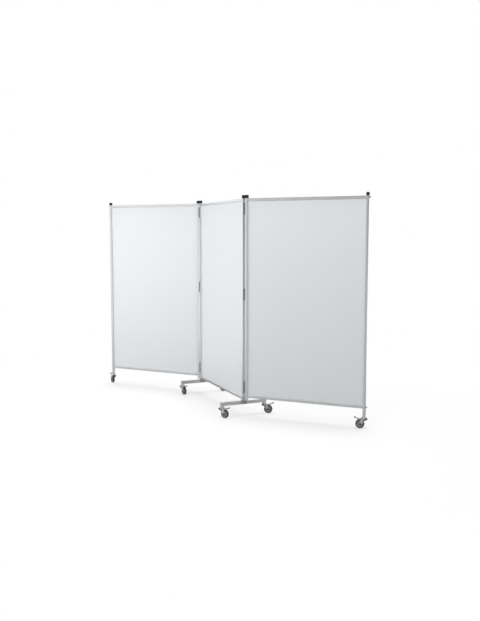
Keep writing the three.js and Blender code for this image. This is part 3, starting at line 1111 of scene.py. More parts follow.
@dataclass
class Hinge:
    """The butt hinges of one joint, with the pin's axis on the place and the leaves across X."""

    height: float = 95 * MM
    gap: float = 8 * MM
    leaf: float = 2.5 * MM
    reach: float = 22 * MM
    knuckle: float = 4 * MM
    pin: float = 2 * MM
    count: int = 5
    leaf_edge: float = 0.5 * MM
    knuckle_edge: float = 0.4 * MM
    pin_inset: float = 0.5 * MM
    pin_head_share: float = 1.3
    pin_head_rise: float = 0.4 * MM
    screw_radius: float = 3.4 * MM
    screw_depth: float = 0.8 * MM
    screw_proud: float = 0.12 * MM
    screw_edge: float = 0.1 * MM
    slot_half: float = 2.2 * MM
    slot_wide: float = 0.4 * MM
    slot_floor: float = -0.3 * MM
    screw_place_share: float = 0.6
    screw_step_share: float = 0.34
    screw_count: int = 3

    def leaf_mesh(self, side: Side, with_pin: bool) -> bpy.types.Mesh:
        """A leaf with its knuckles.

        Args:
            side: the side of the pin on which it lies.
            with_pin: whether it carries the odd knuckles and the pin.

        Returns:
            The leaf.
        """
        face = side.value * (self.gap / 2 - GAP)
        inner = face - side.value * self.leaf
        half = self.height / 2
        plate = block((min(face, inner), -self.reach, -half), (max(face, inner), 0, half), self.leaf_edge)
        pitch = self.height / self.count
        knuckles = []
        rooms = []
        for i in range(self.count):
            low = -half + i * pitch + GAP / 2
            high = low + pitch - GAP
            if (i % 2 == 0) == with_pin:
                knuckles.append(bar(self.knuckle, low, high, self.knuckle_edge))
            else:
                rooms.append(bar(self.knuckle + GAP, low - GAP, high + GAP))
        plate = boolean(plate, rooms, Solids.CUT)
        whole = boolean(plate, knuckles, Solids.JOIN)
        if with_pin:
            head = self.pin * self.pin_head_share
            end = half + self.pin_head_rise
            core = bar(self.pin, -half + self.pin_inset, half - self.pin_inset)
            return joined([whole, core, bar(head, -end, -half + MM), bar(head, half - MM, end)])
        return boolean(whole, [bar(self.pin + GAP, -self.height, self.height)], Solids.CUT)

    def screws(self, side: Side) -> bpy.types.Mesh:
        """The three countersunk screw heads of a leaf, on its inner face.

        Args:
            side: the side of the pin on which the leaf lies.

        Returns:
            The screw heads.
        """
        head = bar(self.screw_radius, -self.screw_depth, self.screw_proud, self.screw_edge)
        spans = ((self.slot_half, self.slot_wide), (self.slot_wide, self.slot_half))
        slots = [block((-x, -y, self.slot_floor), (x, y, MM)) for x, y in spans]
        head = boolean(head, slots, Solids.CUT)
        inner = side.value * (self.gap / 2 - GAP - self.leaf)
        head.transform(shift(inner, -self.reach * self.screw_place_share, 0) @ turn(-90 * side.value, "Y"))
        step = self.height * self.screw_step_share
        start = -step * (self.screw_count - 1) / 2
        return repeated(
            ROW, head, BOLT_STEEL, Count=self.screw_count, Start=(0.0, 0.0, start), Step=(0.0, 0.0, step)
        )

    def build(self, name: str, body: str, place: Place, side: Side, with_pin: bool) -> None:
        """Builds and dresses the three leaves on one side of a joint.

        Args:
            name: the start of the leaves' names.
            body: the body that they ride on.
            place: the pin's axis, with X across the leaves.
            side: the side of the pin on which they lie.
            with_pin: whether they carry the pins.
        """
        leaf = self.leaf_mesh(side, with_pin)
        screws = self.screws(side)
        for label in ("bottom", "middle", "top"):
            node = f"{name}_{label}_hinge_leaf"
            low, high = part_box(node)
            base = place.matrix @ shift(0, 0, (low[2] + high[2]) / 2)
            dress(moved(leaf, base), f"{node}_plate", HINGE_STEEL, body, node)
            dress(moved(screws, base), f"{node}_screws", BOLT_STEEL, body)


@dataclass
class Foot:
    """A cross foot along Y: bar, end plates, strap and domed screw."""

    name: str
    place: Place
    side: float = 30 * MM
    wall: float = 2 * MM
    corner: float = 3 * MM
    length: float = 404 * MM
    underside: float = 95 * MM
    plate_recess: float = 0.5 * MM
    plate_overlap: float = 0.2 * MM
    plate_edge: float = 0.3 * MM
    strap_length: float = 50 * MM
    strap_wall: float = 2.5 * MM
    strap_gap: float = 0.05 * MM
    strap_rise: float = 2 * MM
    strap_bend: float = 2.5 * MM
    strap_bend_steps: int = 4
    strap_inner_bend: float = 1.2 * MM
    strap_spare: float = 8 * MM
    room_spare: float = 20 * MM
    trim_depth: float = 30 * MM
    spigot_half: float = 9.2 * MM
    spigot_height: float = 11 * MM
    spigot_overlap: float = 0.5 * MM
    spigot_edge: float = 0.8 * MM
    screw_place: float = 46 * MM

    @property
    def finish(self) -> Finish:
        """The frame's metal with its brushing along the foot."""
        return rail_metal(math.radians(self.place.heading + 90))

    def bar_mesh(self) -> bpy.types.Mesh:
        """The bar with its end plates.

        Returns:
            The bar, along Y.
        """
        tube = square_tube(self.side, self.corner, self.wall, self.length, self.finish)
        middle = self.underside + self.side / 2
        tube.transform(shift(0, self.length / 2, middle) @ turn(90, "X"))
        inside = self.side / 2 - self.wall + self.plate_overlap
        plates = []
        for side in Side:
            ends = (self.length / 2 - depth for depth in (self.plate_recess, self.wall))
            low, high = sorted(side.value * end for end in ends)
            corners = (-inside, low, middle - inside), (inside, high, middle + inside)
            plates.append(block(*corners, self.plate_edge))
        return joined([tube, *plates])

    def strap_mesh(self) -> bpy.types.Mesh:
        """The strap, bent over the bar's top and sides.

        Returns:
            The strap, round the bar's middle.
        """
        outer = self.side / 2 + self.strap_wall
        half = self.side / 2 + self.strap_gap
        long = self.strap_length
        top = self.underside + self.side
        low = self.underside + self.strap_rise
        corners = (-outer, -long / 2, low - self.strap_spare), (outer, long / 2, top + self.strap_wall)
        body = block(*corners, self.strap_bend, self.strap_bend_steps)
        corners = (-half, -long, low - self.room_spare), (half, long, top + self.strap_gap)
        room = block(*corners, self.strap_inner_bend)
        trim = block((-outer * 2, -long, low - self.trim_depth), (outer * 2, long, low))
        return boolean(body, [room, trim], Solids.CUT)

    def spigot_mesh(self) -> bpy.types.Mesh:
        """The block that goes up into the post.

        Returns:
            The block.
        """
        half = self.spigot_half
        top = self.underside + self.side + self.strap_wall
        low = top - self.spigot_overlap
        return block((-half, -half, low), (half, half, top + self.spigot_height), self.spigot_edge)

    def screw_mesh(self) -> bpy.types.Mesh:
        """The domed screw on the bar behind the post."""
        return moved(FOOT_SCREW.mesh(), shift(0, self.screw_place, self.underside + self.side))

    def build(self) -> None:
        """Builds and dresses the foot."""
        for mesh, label, finish, nodes in (
            (self.bar_mesh(), "tube", self.finish, [f"{self.name}_bar"]),
            (self.strap_mesh(), "strap", HINGE_STEEL, []),
            (self.spigot_mesh(), "spigot", HINGE_STEEL, []),
            (self.screw_mesh(), "screw", BOLT_STEEL, []),
        ):
            dress(moved(mesh, self.place.matrix), f"{self.name}_{label}", finish, "middle", *nodes)


# Sizes that the parts of a caster share
TRAIL = 32 * MM
WHEEL_RADIUS = 35 * MM
FORK_TOP = 81.4 * MM
FORK_WALL = 2.5 * MM
PEDAL_PIVOT = (1 * MM, 64 * MM)
TREAD_WIDTH = 37 * MM


@dataclass(frozen=True)
class Swivel:
    """The upper half of a caster's swivel, with its stem and the balls, round Z."""

    underside: float = 83.7 * MM
    top: float = 94.7 * MM
    # Profiles: radius and height over the underside, in millimetres
    plate_profile: Profile = (
        (0, 2), (11, 2), (14.5, 0), (19.2, 0), (20, 0.8), (20, 3.4),
        (19.2, 4.4), (17, 6), (16, 9.8), (15, 10.7), (14, 11), (0, 11),
    )
    rivet_profile: Profile = (
        (0, -7.5), (4.2, -7.5), (6.2, -6.6), (6.9, -5.2), (3.9, -5.1), (3.9, 2.5), (0, 2.5),
    )
    stem_radius: float = 6 * MM
    stem_edge: float = 0.8 * MM
    ball_radius: float = 1.5 * MM
    ball_steps: int = 8
    ball_sides: int = 10
    ball_count: int = 18
    race_radius: float = 12.5 * MM
    race_rise: float = 0.2 * MM

    def head(self, stem: float) -> bpy.types.Mesh:
        """A dished plate with its rolled lip, the king pin's rivet and the stem.

        Args:
            stem: height of the stem above the plate.

        Returns:
            The head.
        """
        plate = turned(in_mm(self.plate_profile, self.underside), FINE_ROUND)
        rivet = turned(in_mm(self.rivet_profile, self.underside))
        neck = bar(self.stem_radius, self.top - MM, self.top + stem, self.stem_edge)
        return joined([plate, rivet, neck])

    def balls(self) -> bpy.types.Mesh:
        """The ring of balls in the race.

        Returns:
            The balls.
        """
        angles = [math.pi * i / self.ball_steps for i in range(self.ball_steps + 1)]
        profile = [(self.ball_radius * math.sin(a), -self.ball_radius * math.cos(a)) for a in angles]
        ball = turned(profile, self.ball_sides)
        ball.transform(shift(self.race_radius, 0, self.underside + self.race_rise))
        return repeated(RING, ball, BOLT_STEEL, Count=self.ball_count)


@dataclass(frozen=True)
class Fork:
    """A caster's fork, bent from one plate, with its lower race, its axle and the pedal's pin."""

    front: float = 16 * MM
    rear: float = 24 * MM
    leg_front: float = 6 * MM
    leg_skirt: float = 15 * MM
    leg_inside: float = 12.5 * MM
    leg_end: float = 10.5 * MM
    leg_end_steps: int = 16
    corner: float = 2.4 * MM
    corner_steps: int = 4
    bend: float = 4 * MM
    bend_steps: int = 5
    inner_bend: float = 1.5 * MM
    inner_bend_steps: int = 3
    room_front: float = 60 * MM
    room_rear: float = 90 * MM
    room_depth: float = 20 * MM
    king_hole: float = 4.6 * MM
    king_span: Point = (70 * MM, 100 * MM)
    # Profile: radius and height over the fork's top, in millimetres
    race_profile: Profile = (
        (4.8, -1), (4.8, 0.6), (10, 0.8), (12.5, 0.4), (14.8, 1.9), (15.8, 1.6),
        (16, -0.2), (15.8, -1), (4.8, -1),
    )
    bolt_radius: float = 3.9 * MM
    tip_start: float = 3 * MM
    tip_end: float = 4.5 * MM
    bolt_edge: float = 0.5 * MM
    washer_radius: float = 8 * MM
    washer_height: float = 1 * MM
    washer_edge: float = 0.2 * MM
    nut_radius: float = 6.9 * MM
    nut_top: float = 3.7 * MM
    pin_radius: float = 2.4 * MM
    pin_reach: float = 1.2 * MM
    pin_edge: float = 0.3 * MM
    pin_head_radius: float = 3.4 * MM
    pin_head_height: float = 0.9 * MM

    @property
    def outside(self) -> float:
        """How far the legs' outer faces are from the middle."""
        return self.leg_inside + FORK_WALL

    def leg_outline(self) -> list[Point]:
        """Side view of a leg, in X and Z.

        Returns:
            The outline's corners.
        """
        under = FORK_TOP - FORK_WALL
        front = (-self.leg_front, FORK_TOP - self.leg_skirt)
        rear = (self.rear, under)
        points = [(-self.front, FORK_TOP), (-self.front, under)]
        for i in range(self.corner_steps + 1):
            angle = math.pi / 2 * i / self.corner_steps
            inwards = self.corner * (1 - math.sin(angle))
            points.append((-self.leg_front - inwards, under - self.corner * (1 - math.cos(angle))))
        points.append(front)
        start = self.touch(front, 1)
        end = self.touch(rear, -1) + 2 * math.pi
        for i in range(self.leg_end_steps + 1):
            angle = start + (end - start) * i / self.leg_end_steps
            across = self.leg_end * math.cos(angle)
            points.append((TRAIL + across, WHEEL_RADIUS + self.leg_end * math.sin(angle)))
        return [*points, rear, (self.rear, FORK_TOP)]

    def touch(self, point: Point, way: int) -> float:
        """The angle at which a line from a point touches the leg's round end.

        Args:
            point: where the line starts, in the side view.
            way: 1 to touch it anticlockwise of the point, -1 clockwise.

        Returns:
            The angle about the axle, in radians.
        """
        across = point[0] - TRAIL
        up = point[1] - WHEEL_RADIUS
        return math.atan2(up, across) + way * math.acos(self.leg_end / math.hypot(across, up))

    def is_bend(self, edge: bmesh.types.BMEdge) -> bool:
        """Whether an edge lies along the top of a leg.

        Args:
            edge: the edge.

        Returns:
            True where the plate is bent.
        """
        first, second = (vert.co for vert in edge.verts)
        on_top = abs(first.z - FORK_TOP) < CLOSE and abs(second.z - FORK_TOP) < CLOSE
        return on_top and abs(first.y - second.y) < CLOSE

    def plate(self) -> bpy.types.Mesh:
        """The crown and the two legs with their rounded bends, and the lower race.

        Returns:
            The plate and the race.
        """
        body = prism(self.leg_outline(), -self.outside, self.outside)
        body.transform(turn(90, "X"))
        bm = bm_of(body)
        bends = [edge for edge in bm.edges if self.is_bend(edge)]
        bmesh.ops.bevel(
            bm, geom=bends, offset=self.bend, segments=self.bend_steps, profile=0.5, affect="EDGES"
        )
        bm.to_mesh(body)
        bm.free()
        low = (-self.room_front, -self.leg_inside, -self.room_depth)
        high = (self.room_rear, self.leg_inside, FORK_TOP - FORK_WALL)
        room = block(low, high, self.inner_bend, self.inner_bend_steps)
        shell = boolean(body, [room, bar(self.king_hole, *self.king_span)], Solids.CUT)
        return joined([shell, turned(in_mm(self.race_profile, FORK_TOP), FINE_ROUND)])

    def axle(self) -> bpy.types.Mesh:
        """The axle bolt with its head, nut and washers, and the pedal's pin.

        Returns:
            The bolt and the pin.
        """
        parts = [bar(self.bolt_radius, -self.outside, self.outside)]
        washer = bar(self.washer_radius, 0, self.washer_height, self.washer_edge)
        nut = hexagon(self.nut_radius, self.washer_height - OVERLAP, self.nut_top)
        tip = bar(self.bolt_radius, self.tip_start, self.tip_end, self.bolt_edge)
        head = joined([washer, nut])
        parts.append(moved(head, shift(0, 0, -self.outside), turn(180, "X")))
        parts.append(moved(joined([head, tip]), shift(0, 0, self.outside)))
        axle = moved(joined(parts), shift(TRAIL, 0, WHEEL_RADIUS), turn(90, "X"))
        end = TREAD_WIDTH / 2 + self.pin_reach
        shaft = bar(self.pin_radius, -end, end, self.pin_edge)
        flat = bar(self.pin_head_radius, end - self.pin_head_height, end, self.pin_edge)
        pin = moved(joined([shaft, flat]), shift(PEDAL_PIVOT[0], 0, PEDAL_PIVOT[1]), turn(90, "X"))
        return joined([axle, pin])


@dataclass(frozen=True)
class Wheel:
    """A caster's wheel, its axle on Z."""

    half_width: float = 10 * MM
    tyre_depth: float = 7.5 * MM
    shoulder: float = 4.4 * MM
    shoulder_steps: int = 6
    bead_height: float = 0.6 * MM
    bead_inset: float = 0.8 * MM
    # Upper half of the profile: radius and distance from the wheel's middle, in millimetres
    rim_profile: Profile = (
        (27.3, 9.3), (24.9, 8.6), (23.9, 3.6), (22.9, 2.8), (12, 2.8), (10.8, 3.4), (10, 10.8), (9.4, 11.4),
        (4.3, 11.4),
    )
    rib_start: float = 10.2 * MM
    rib_end: float = 24.7 * MM
    rib_half: float = 0.9 * MM
    rib_inset: float = 2.6 * MM
    rib_edge: float = 0.5 * MM
    rib_count: int = 8

    def tyre(self) -> bpy.types.Mesh:
        """The tyre, with rounded shoulders.

        Returns:
            The tyre.
        """
        inner = WHEEL_RADIUS - self.tyre_depth
        centre = self.half_width - self.shoulder
        arc = dome(self.shoulder, self.shoulder, centre, 2 * self.shoulder_steps, self.shoulder_steps + 1)
        upper = [(WHEEL_RADIUS - self.shoulder + out, height) for out, height in arc]
        upper += [(inner + self.bead_height, self.half_width), (inner, self.half_width - self.bead_inset)]
        return turned(with_mirror(upper), TYRE_ROUND)

    def rim(self) -> bpy.types.Mesh:
        """The rim with its web, hub and ribs.

        Returns:
            The rim.
        """
        disc = turned(with_mirror(in_mm(self.rim_profile)), FINE_ROUND)
        side, half = self.rib_half, self.half_width - self.rib_inset
        rib = block((self.rib_start, -side, -half), (self.rib_end, side, half), self.rib_edge)
        return joined([disc, repeated(RING, rib, RIM, Count=self.rib_count)])


# A tread's ribs: half their thickness, and how far they reach into the tread and out of it
RIB_HALF = 0.7 * MM
RIB_ROOT = 0.4 * MM
RIB_CREST = 0.7 * MM
RIB_EDGE = 0.3 * MM


@dataclass(frozen=True)
class Strip:
    """A flat bar of the pedal, its ends in millimetres behind and above the pivot."""

    start: Point
    end: Point
    thick: float
    width: float
    edge: float
    ribs: int = 0
    rib_half: float = 0.0
    rib_rise: float = 0.0

    def mesh(self) -> bpy.types.Mesh:
        """The bar itself.

        Returns:
            The bar, in the pedal's own axes.
        """
        start, end = in_mm((self.start, self.end))
        slope = math.atan2(end[1] - start[1], end[0] - start[0])
        side, top = self.width / 2, self.thick / 2
        body = block((0, -side, -top), (math.dist(start, end), side, top), self.edge)
        return moved(body, shift(start[0], 0, start[1]), turn(-math.degrees(slope), "Y"))

    def rib_row(self) -> bpy.types.Mesh:
        """The ribs across the bar's top.

        Returns:
            The ribs, evenly spread along it.
        """
        start, end = in_mm((self.start, self.end))
        step = ((end[0] - start[0]) / (self.ribs + 1), 0.0, (end[1] - start[1]) / (self.ribs + 1))
        slope = math.degrees(math.atan(step[2] / step[0]))
        corners = (-RIB_HALF, -self.rib_half, -RIB_ROOT), (RIB_HALF, self.rib_half, RIB_CREST)
        rib = moved(block(*corners, RIB_EDGE), turn(-slope, "Y"), shift(0, 0, self.rib_rise))
        first = (start[0] + step[0], 0.0, start[1] + step[2])
        return repeated(ROW, rib, TREAD, Count=self.ribs, Start=first, Step=step)


# Places on the pedal, in millimetres behind and above its pivot
CREST = (15, 10.5)
KNEE = (33, 14.5)
REAR_END = (78, 24)
FRONT_END = (-24.5, 9.8)

ROCKER_STRIPS = (
    Strip((-22, 8.8), (0, 0), 2.4 * MM, 18.6 * MM, 0.4 * MM),
    Strip((0, 0), CREST, 2.6 * MM, 19 * MM, 0.4 * MM),
    Strip(CREST, KNEE, 2.6 * MM, 19 * MM, 0.4 * MM),
    Strip(KNEE, (75, 23.4), 2.6 * MM, 28 * MM, 0.5 * MM),
)
TREAD_STRIPS = (
    Strip(
        (-12.9, 5.16), FRONT_END, 9 * MM, TREAD_WIDTH, 2.2 * MM,
        ribs=3, rib_half=16 * MM, rib_rise=4.5 * MM,
    ),
    Strip(
        (61.4, 20.5), REAR_END, 4.5 * MM, 31 * MM, 1.4 * MM,
        ribs=4, rib_half=13 * MM, rib_rise=2.2 * MM,
    ),
)


@dataclass(frozen=True)
class Pedal:
    """A caster's brake pedal, its pivot on Y."""

    knee_radius: float = 1.3 * MM
    knee_half: float = 9.5 * MM
    # Side view of a flange, in millimetres behind the pivot and above the plate's middle
    flange_outline: Profile = ((30, 0.6), (30, -8), (57, -8), (61, -6.5), (66, 0.6))
    flange_inside: float = 12 * MM
    flange_wall: float = 2 * MM
    flange_edge: float = 0.5 * MM
    sleeve_radius: float = 4.6 * MM
    sleeve_edge: float = 0.4 * MM
    hole: float = 2.8 * MM
    hole_reach: float = 10 * MM
    arm_radius: float = 4 * MM
    arm_start: float = -19 * MM
    arm_end: float = 5 * MM
    arm_wall: float = 2.8 * MM
    arm_edge: float = 0.5 * MM
    arm_steps: int = 8
    shoe_low: Spot = (25 * MM, -9 * MM, 10.3 * MM)
    shoe_high: Spot = (41 * MM, 9 * MM, 13.3 * MM)
    shoe_edge: float = 0.8 * MM

    def flanges(self) -> list[bpy.types.Mesh]:
        """The plate's two flanges.

        Returns:
            The flanges.
        """
        slope = (REAR_END[1] - KNEE[1]) / (REAR_END[0] - KNEE[0])
        outline = in_mm((x, KNEE[1] + (x - KNEE[0]) * slope + y) for x, y in self.flange_outline)
        flange = rounded(prism(outline, 0, self.flange_wall), self.flange_edge)
        outside = self.flange_inside + self.flange_wall
        return [moved(flange, shift(0, y, 0), turn(90, "X")) for y in (-self.flange_inside, outside)]

    def rocker(self) -> bpy.types.Mesh:
        """The pressed rocker: lever, strip, plate with its flanges and sleeve.

        Returns:
            The rocker.
        """
        knee = bar(self.knee_radius, -self.knee_half, self.knee_half)
        knees = [moved(knee, shift(x, 0, z), turn(90, "X")) for x, z in in_mm((CREST, KNEE))]
        sleeve = bar(self.sleeve_radius, -self.knee_half, self.knee_half, self.sleeve_edge)
        sleeve = boolean(sleeve, [bar(self.hole, -2 * self.hole_reach, 2 * self.hole_reach)], Solids.CUT)
        strips = [strip.mesh() for strip in ROCKER_STRIPS]
        return joined([*strips, *knees, *self.flanges(), moved(sleeve, turn(90, "X"))])

    def arms(self) -> list[bpy.types.Mesh]:
        """The front tread's two arms, which run back outside the legs to the pivot pin.

        Returns:
            The arms.
        """
        slope = math.degrees(math.atan2(FRONT_END[1], -FRONT_END[0]))
        outline = []
        for centre, first in ((self.arm_end, -math.pi / 2), (self.arm_start, math.pi / 2)):
            for i in range(self.arm_steps + 1):
                angle = first + math.pi * i / self.arm_steps
                across = self.arm_radius * math.cos(angle)
                outline.append((centre + across, self.arm_radius * math.sin(angle)))
        arm = rounded(prism(outline, 0, self.arm_wall), self.arm_edge)
        arm = boolean(arm, [bar(self.hole, -self.hole_reach, self.hole_reach)], Solids.CUT)
        sides = (self.arm_wall - TREAD_WIDTH / 2, TREAD_WIDTH / 2)
        return [moved(arm, shift(0, y, 0), turn(slope, "Y"), turn(90, "X")) for y in sides]

    def treads(self) -> bpy.types.Mesh:
        """The two moulded treads with their ribs, and the brake shoe.

        Returns:
            The treads and the shoe.
        """
        strips = [strip.mesh() for strip in TREAD_STRIPS]
        ribs = [strip.rib_row() for strip in TREAD_STRIPS]
        return joined([*strips, *self.arms(), *ribs, block(self.shoe_low, self.shoe_high, self.shoe_edge)])


@dataclass(frozen=True)
class Caster:
    """A braked swivel caster, its stem on the origin and its wheel trailing to +X."""

    swivel: Swivel = Swivel()
    fork: Fork = Fork()
    wheel: Wheel = Wheel()
    pedal: Pedal = Pedal()

    def build(self, name: str, carrier: str, place: Place, stem: float) -> None:
        """Builds and dresses the caster.

        Args:
            name: the start of its pieces' names.
            carrier: the body that holds its stem.
            place: the stem's axis and the way the wheel trails.
            stem: height of the stem above the head.
        """
        base = place.matrix
        axle = base @ shift(TRAIL, 0, WHEEL_RADIUS) @ turn(90, "X")
        pivot = base @ shift(PEDAL_PIVOT[0], 0, PEDAL_PIVOT[1])
        fork, wheel, pedal = (f"{name}_{part}" for part in ("fork", "wheel", "pedal"))
        dress(moved(self.swivel.head(stem), base), f"{name}_swivel_plate", ZINC, carrier, f"{name}_head")
        dress(moved(self.swivel.balls(), base), f"{name}_balls", BOLT_STEEL, fork)
        dress(moved(self.fork.plate(), base), f"{name}_fork_plate", FORK_STEEL, fork, fork)
        dress(moved(self.fork.axle(), base), f"{name}_axle_bolt", AXLE_STEEL, fork)
        dress(moved(self.wheel.tyre(), axle), f"{name}_tyre", TYRE, wheel, wheel)
        dress(moved(self.wheel.rim(), axle), f"{name}_rim", RIM, wheel)
        dress(moved(self.pedal.rocker(), pivot), f"{name}_rocker", ZINC, pedal, pedal)
        dress(moved(self.pedal.treads(), pivot), f"{name}_treads", TREAD, pedal)


# The studio


@dataclass(frozen=True)
class Softbox:
    """A rectangular lamp, with its place and target given from the middle panel and its power in watts."""

    name: str
    at: Spot
    target: Spot
    size: Point
    power: float


SOFTBOXES = (
    Softbox("left_softbox", (-0.4, -3.0, 1.6), (-0.85, -0.35, 0.95), (1.5, 2.0), 31),
    Softbox("side_softbox", (-2.8, -2.4, 1.8), (-0.1, 0.0, 1.2), (1.6, 2.2), 25),
    Softbox("high_softbox", (2.9, -1.9, 3.3), (1.1, 0.3, 1.5), (2.2, 2.2), 54),
    Softbox("back_softbox", (-2.3, 3.4, 1.4), (-0.1, 0.0, 0.95), (3.2, 2.2), 75),
)
WHITE = (1.0, 1.0, 1.0, 1.0)
FULL = (0.0, 1.0)  # the span of a share


@dataclass
class Studio:
    """Camera, lamps, world and floor."""

    middle: Place
    eye: Spot = (5.8837, -2.3836, 1.4640)
    right: Spot = (0.3997, 0.9166, 0.0003)
    up: Spot = (-0.0921, 0.0399, 0.9950)
    focal_pixels: float = 727.1
    width_pixels: float = 480
    sensor_width: float = 36
    clip_end: float = 200
    ambient: float = 0.42
    bright_side: float = 1.0
    dim_side: float = 0.35
    side_span: Point = (0.24, 0.36)
    dark_end: float = 0.3
    end_span: Point = (0.4, 0.8)
    gap_start: float = -2.45
    gap_end: float = -1.62
    gap_edge: float = 0.18
    gap_level: float = 0.05
    overhead_strength: float = 4.6
    overhead_spread: float = 25
    overhead_tilt: float = 3
    overhead_heading: float = 112
    floor_half: float = 60
    floor_thickness: float = 0.02
    floor_grey: float = 0.19
    floor_roughness: float = 0.9
    floor_specular: float = 0.1
    floor_glow: float = 0.575
    floor_shine: float = 0.65
    shine_span: Point = (1.5, 4.5)
    fade_span: Point = (2.0, 3.4)

    def camera(self) -> None:
        """Sets up the camera at the photograph's place."""
        data = bpy.data.cameras.new("camera")
        data.sensor_fit = "HORIZONTAL"
        data.sensor_width = self.sensor_width
        data.lens = self.focal_pixels * self.sensor_width / self.width_pixels
        data.clip_end = self.clip_end
        camera = bpy.data.objects.new("camera", data)
        bpy.context.scene.collection.objects.link(camera)
        right = Vector(self.right).normalized()
        up = Vector(self.up)
        up = (up - right * up.dot(right)).normalized()
        back = right.cross(up)
        rotation = Matrix((right, up, back)).transposed().to_4x4()
        spot = self.middle.matrix @ Vector(self.eye)
        camera.matrix_world = Matrix.Translation(spot) @ rotation
        bpy.context.scene.camera = camera

    def lamp(self, box: Softbox) -> None:
        """Adds a softbox that lights the screen but isn't seen or mirrored.

        Args:
            box: the softbox.
        """
        data = bpy.data.lights.new(box.name, "AREA")
        data.shape = "RECTANGLE"
        data.size, data.size_y = box.size
        data.energy = box.power
        lamp = bpy.data.objects.new(box.name, data)
        bpy.context.scene.collection.objects.link(lamp)
        lamp.visible_camera = False
        lamp.visible_glossy = False
        spot = self.middle.matrix @ Vector(box.at)
        way = self.middle.matrix @ Vector(box.target) - spot
        lamp.matrix_world = Matrix.Translation(spot) @ way.to_track_quat("-Z", "Y").to_matrix().to_4x4()

    def overhead(self) -> None:
        """Adds a soft light from almost straight above, which marks the floor under each panel and wheel."""
        data = bpy.data.lights.new("overhead", "SUN")
        data.energy = self.overhead_strength
        data.angle = math.radians(self.overhead_spread)
        lamp = bpy.data.objects.new("overhead", data)
        lamp.matrix_world = turn(self.overhead_heading, "Z") @ turn(self.overhead_tilt, "Y")
        lamp.visible_glossy = False
        bpy.context.scene.collection.objects.link(lamp)

    def side(self, sheet: NodeSheet, way: bpy.types.NodeSocket) -> bpy.types.NodeSocket:
        """How bright the studio is that the metal shows: a bright side with a dark gap, and a dark end.

        Args:
            sheet: the tree that gets the nodes.
            way: the direction, of length 1.

        Returns:
            The socket with the strength.
        """
        share = sheet.add("ShaderNodeSeparateXYZ", {0: way}).outputs
        near = sheet.ramp(share["X"], self.side_span, (self.bright_side, self.dim_side))
        end = sheet.ramp(share["X"], self.end_span, (1.0, self.dark_end))
        heading = sheet.calc("ARCTAN2", share["Y"], share["X"])
        opens = sheet.ramp(heading, (self.gap_start, self.gap_start + self.gap_edge), (0.0, 1.0))
        closes = sheet.ramp(heading, (self.gap_end - self.gap_edge, self.gap_end), (1.0, 0.0))
        gap = sheet.ramp(sheet.calc("MULTIPLY", opens, closes), FULL, (1.0, self.gap_level))
        return sheet.calc("MULTIPLY", sheet.calc("MULTIPLY", near, end), gap)

    def world(self) -> None:
        """Lights the object softly from all round, and shows white behind it."""
        world = bpy.data.worlds.new("studio")
        bpy.context.scene.world = world
        world.use_nodes = True
        sheet = NodeSheet(world.node_tree)
        back = world.node_tree.nodes["Background"]
        back.inputs["Color"].default_value = WHITE
        rays = sheet.add("ShaderNodeLightPath").outputs
        seen = sheet.calc("MAXIMUM", rays["Is Camera Ray"], rays["Is Glossy Ray"])
        seen = sheet.calc("MAXIMUM", seen, rays["Is Transmission Ray"])
        level = sheet.ramp(seen, FULL, (self.ambient, 1.0))
        side = self.side(sheet, sheet.add("ShaderNodeTexCoord").outputs["Generated"])
        strength = sheet.mix(rays["Is Glossy Ray"], level, side, Mixture.NUMBER)
        sheet.tree.links.new(strength, back.inputs["Strength"])

    def floor_material(self) -> bpy.types.Material:
        """A pale surface with a glow of its own, which turns white far out and shines as the studio does.

        Returns:
            The material.
        """
        material = bpy.data.materials.new("studio_floor")
        material.use_nodes = True
        sheet = NodeSheet(material.node_tree)
        shader = material.node_tree.nodes["Principled BSDF"]
        shader.inputs["Roughness"].default_value = self.floor_roughness
        shader.inputs["Specular IOR Level"].default_value = self.floor_specular
        shader.inputs["Base Color"].default_value = (self.floor_grey, self.floor_grey, self.floor_grey, 1.0)
        rays = sheet.add("ShaderNodeLightPath").outputs
        seen = sheet.calc("MULTIPLY", rays["Is Camera Ray"], self.floor_glow)
        place = sheet.add("ShaderNodeTexCoord").outputs["Object"]
        far = sheet.add("ShaderNodeVectorMath", {0: place}, operation="LENGTH").outputs["Value"]
        way = sheet.add("ShaderNodeVectorMath", {0: place}, operation="NORMALIZE").outputs["Vector"]
        beyond = sheet.ramp(far, self.shine_span, (0.0, self.floor_shine))
        shine = sheet.calc("MULTIPLY", self.side(sheet, way), beyond)
        lift = sheet.calc("MULTIPLY_ADD", rays["Is Glossy Ray"], shine, seen)
        glow = sheet.add("ShaderNodeEmission", {"Color": WHITE, "Strength": lift})
        pale = sheet.add("ShaderNodeAddShader", {0: shader.outputs[0], 1: glow.outputs[0]})
        fade = sheet.ramp(far, self.fade_span, (0.0, 1.0))
        share = sheet.calc("MULTIPLY", fade, rays["Is Camera Ray"])
        white = sheet.add("ShaderNodeEmission", {"Color": WHITE})
        mix = sheet.add("ShaderNodeMixShader", {0: share, 1: pale.outputs[0], 2: white.outputs[0]})
        sheet.tree.links.new(mix.outputs[0], material.node_tree.nodes["Material Output"].inputs["Surface"])
        return material

    def floor(self) -> None:
        """Lays a pale floor that keeps the shadows and fades into the white behind."""
        half = self.floor_half
        mesh = block((-half, -half, -self.floor_thickness), (half, half, 0))
        mesh.materials.append(self.floor_material())
        floor = bpy.data.objects.new("floor", mesh)
        bpy.context.scene.collection.objects.link(floor)

    def build(self) -> None:
        """Builds the studio."""
        self.camera()
        self.world()
        self.floor()
        self.overhead()
        for box in SOFTBOXES:
            self.lamp(box)
        bpy.context.scene.view_settings.view_transform = "Standard"


# The whole screen


